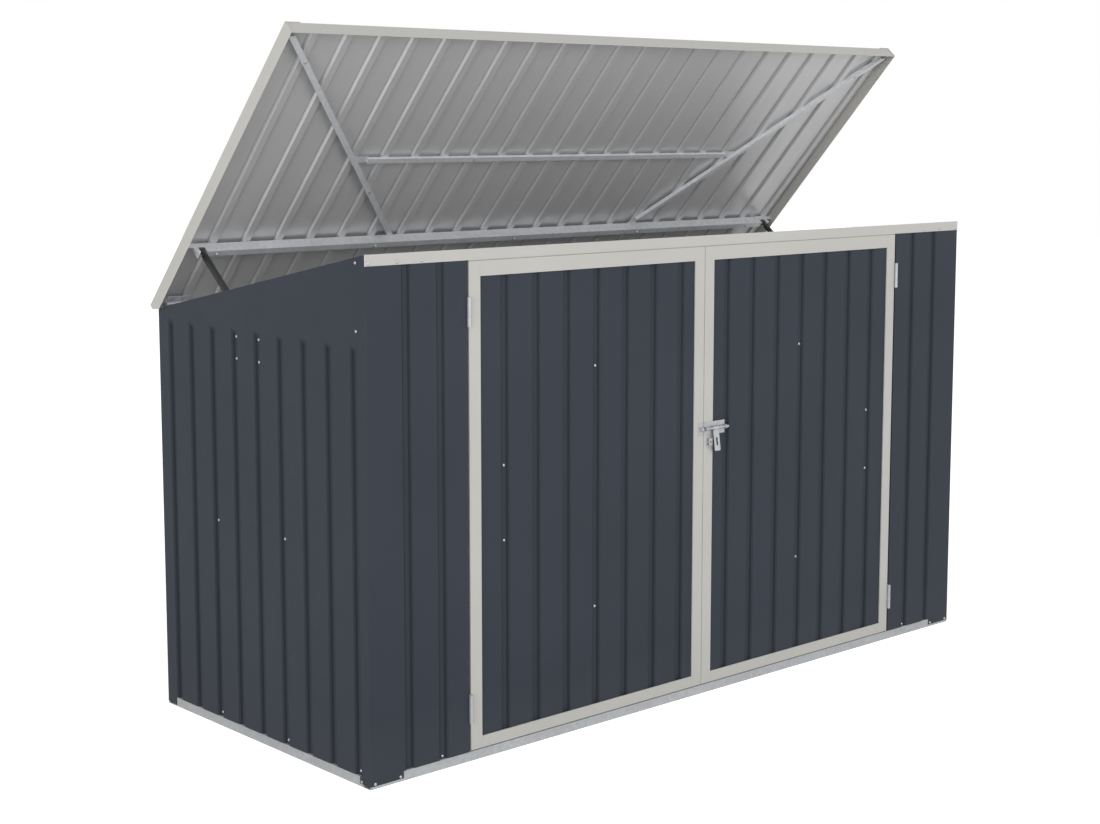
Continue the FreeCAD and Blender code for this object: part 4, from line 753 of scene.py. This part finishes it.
# All the screws of one node as one piece; a ring of quads closes on itself at its last column.
def screwPiece(node):
    name = node.replace("screws", "pan_head_screws")
    spins = np.random.default_rng(screwValues["seed"]).uniform(0, 2 * math.pi, screwValues["spins"])
    points, faces, count = [], [], 0
    for part, spin in zip(looseParts(node), spins):
        grid = screwGrid(*screwPlace(part), spin)[:, :-1]
        rows, columns = grid.shape[:2]
        index = np.arange(rows * columns).reshape(rows, columns) + count
        beside = np.roll(index, -1, axis=1)
        faces.append(np.stack([index[:-1], beside[:-1], beside[1:], index[1:]], -1).reshape(-1, 4))
        points.append(grid.reshape(-1, 3))
        count += rows * columns
    mesh = bpy.data.meshes.new(name)
    mesh.from_pydata(np.concatenate(points).tolist(), [], np.concatenate(faces).tolist())
    mesh.materials.append(finishes["zinc"])
    mesh.update()
    work = bmesh.new()
    work.from_mesh(mesh)
    bmesh.ops.holes_fill(work, edges=[edge for edge in work.edges if edge.is_boundary], sides=0)
    bmesh.ops.recalc_face_normals(work, faces=work.faces)
    work.to_mesh(mesh)
    work.free()
    placePiece(name, mesh, node)
    return len(points)


print("screws driven:", [screwPiece(node) for node in screwNodes])


# Stage, light and camera

stageValues = {"floor": 40.0, "floorColours": ("#F5F5F3", "#F7F7F5"), "floorSpeck": 3.0, "floorGlow": 0.55,
               "floorRoughness": 0.9, "floorGloss": 0.1, "ambient": 0.67, "aim": (0, 0, 0.7),
               "keyPlace": (0.5, -9.0, 2.2), "keySize": 7.5, "keyPower": 420.0,
               "fillPlace": (-7.5, -2.5, 1.8), "fillSize": 5.0, "fillPower": 270.0}


# Pale matt floor that keeps the object's shadow; seen directly it glows a little, so that it meets the
# white background without a line.
def makeFloor():
    values = stageValues
    half = values["floor"] / 2
    mesh = bpy.data.meshes.new("floor")
    corners = [(-half, -half, 0), (half, -half, 0), (half, half, 0), (-half, half, 0)]
    mesh.from_pydata(corners, [], [(0, 1, 2, 3)])
    floor = bpy.data.objects.new("floor", mesh)
    bpy.context.scene.collection.objects.link(floor)
    material, tree, surface, place = newMaterial("pale_floor")
    speck = addNode(tree, "TexNoise", {"Vector": place, "Scale": values["floorSpeck"], "Detail": 3.0})
    tone = addNode(tree, "Mix", {0: speck.outputs["Fac"], 6: values["floorColours"][0],
                                7: values["floorColours"][1]}, data_type="RGBA")
    seen = addNode(tree, "LightPath").outputs["Is Camera Ray"]
    glow = addNode(tree, "Math", {0: seen, 1: values["floorGlow"]}, operation="MULTIPLY")
    fillSockets(tree, surface, {
        "Base Color": tone.outputs[2], "Roughness": values["floorRoughness"],
        "Specular IOR Level": values["floorGloss"], "Emission Color": "#FFFFFF",
        "Emission Strength": glow.outputs["Value"]})
    mesh.materials.append(material)


# A soft square lamp turned from its place towards the middle of the object.
def makeLamp(name, place, size, power):
    lamp = bpy.data.lights.new(name, "AREA")
    lamp.size = size
    lamp.energy = power
    holder = bpy.data.objects.new(name, lamp)
    bpy.context.scene.collection.objects.link(holder)
    holder.location = place
    aim = np.array(stageValues["aim"]) - np.array(place)
    holder.rotation_euler = (math.atan2(np.hypot(aim[0], aim[1]), -aim[2]), 0,
                             math.atan2(aim[1], aim[0]) - math.pi / 2)


# Soft even light all round; rays that reach the background unscattered see plain white.
def makeWorld():
    world = bpy.data.worlds.new("soft_studio")
    bpy.context.scene.world = world
    world.use_nodes = True
    tree = world.node_tree
    tree.nodes.clear()
    path = addNode(tree, "LightPath").outputs
    glossy = addNode(tree, "Math", {0: path["Is Camera Ray"], 1: path["Is Glossy Ray"]}, operation="MAXIMUM")
    direct = addNode(tree, "Math", {0: glossy.outputs["Value"], 1: path["Is Transmission Ray"]},
                     operation="MAXIMUM")
    soft = addNode(tree, "Background", {"Color": "#FFFFFF", "Strength": stageValues["ambient"]})
    white = addNode(tree, "Background", {"Color": "#FFFFFF", "Strength": 1.0})
    mixed = addNode(tree, "MixShader", {0: direct.outputs["Value"], 1: soft.outputs["Background"],
                                       2: white.outputs["Background"]})
    addNode(tree, "OutputWorld", {"Surface": mixed.outputs["Shader"]})


cameraValues = {"place": (-3.80107, -4.03407, 1.61487), "pitchDown": 7.067, "turnRight": 42.12,
                "focalPixels": 1865.15, "frameWidth": 1100, "frameHeight": 824, "centreRow": 357.33,
                "sensor": 36.0, "farthest": 200}


# The photograph's viewing angle; the shift is how far its optical centre lies above the frame's middle. The
# focal length, the frame and the centre row are in pixels, the sensor in millimetres.
def makeCamera():
    values = cameraValues
    lens = bpy.data.cameras.new("camera")
    lens.sensor_width = values["sensor"]
    lens.lens = values["focalPixels"] * values["sensor"] / values["frameWidth"]
    lens.shift_y = (values["centreRow"] - values["frameHeight"] / 2) / values["frameWidth"]
    lens.clip_end = values["farthest"]
    camera = bpy.data.objects.new("camera", lens)
    bpy.context.scene.collection.objects.link(camera)
    camera.location = values["place"]
    camera.rotation_euler = (math.radians(90 - values["pitchDown"]), 0, math.radians(-values["turnRight"]))
    bpy.context.scene.camera = camera


makeFloor()
for name in ("key", "fill"):
    makeLamp(name, *(stageValues[name + part] for part in ("Place", "Size", "Power")))
makeWorld()
makeCamera()
bpy.context.scene.view_settings.view_transform = "Standard"
print("stage lit")
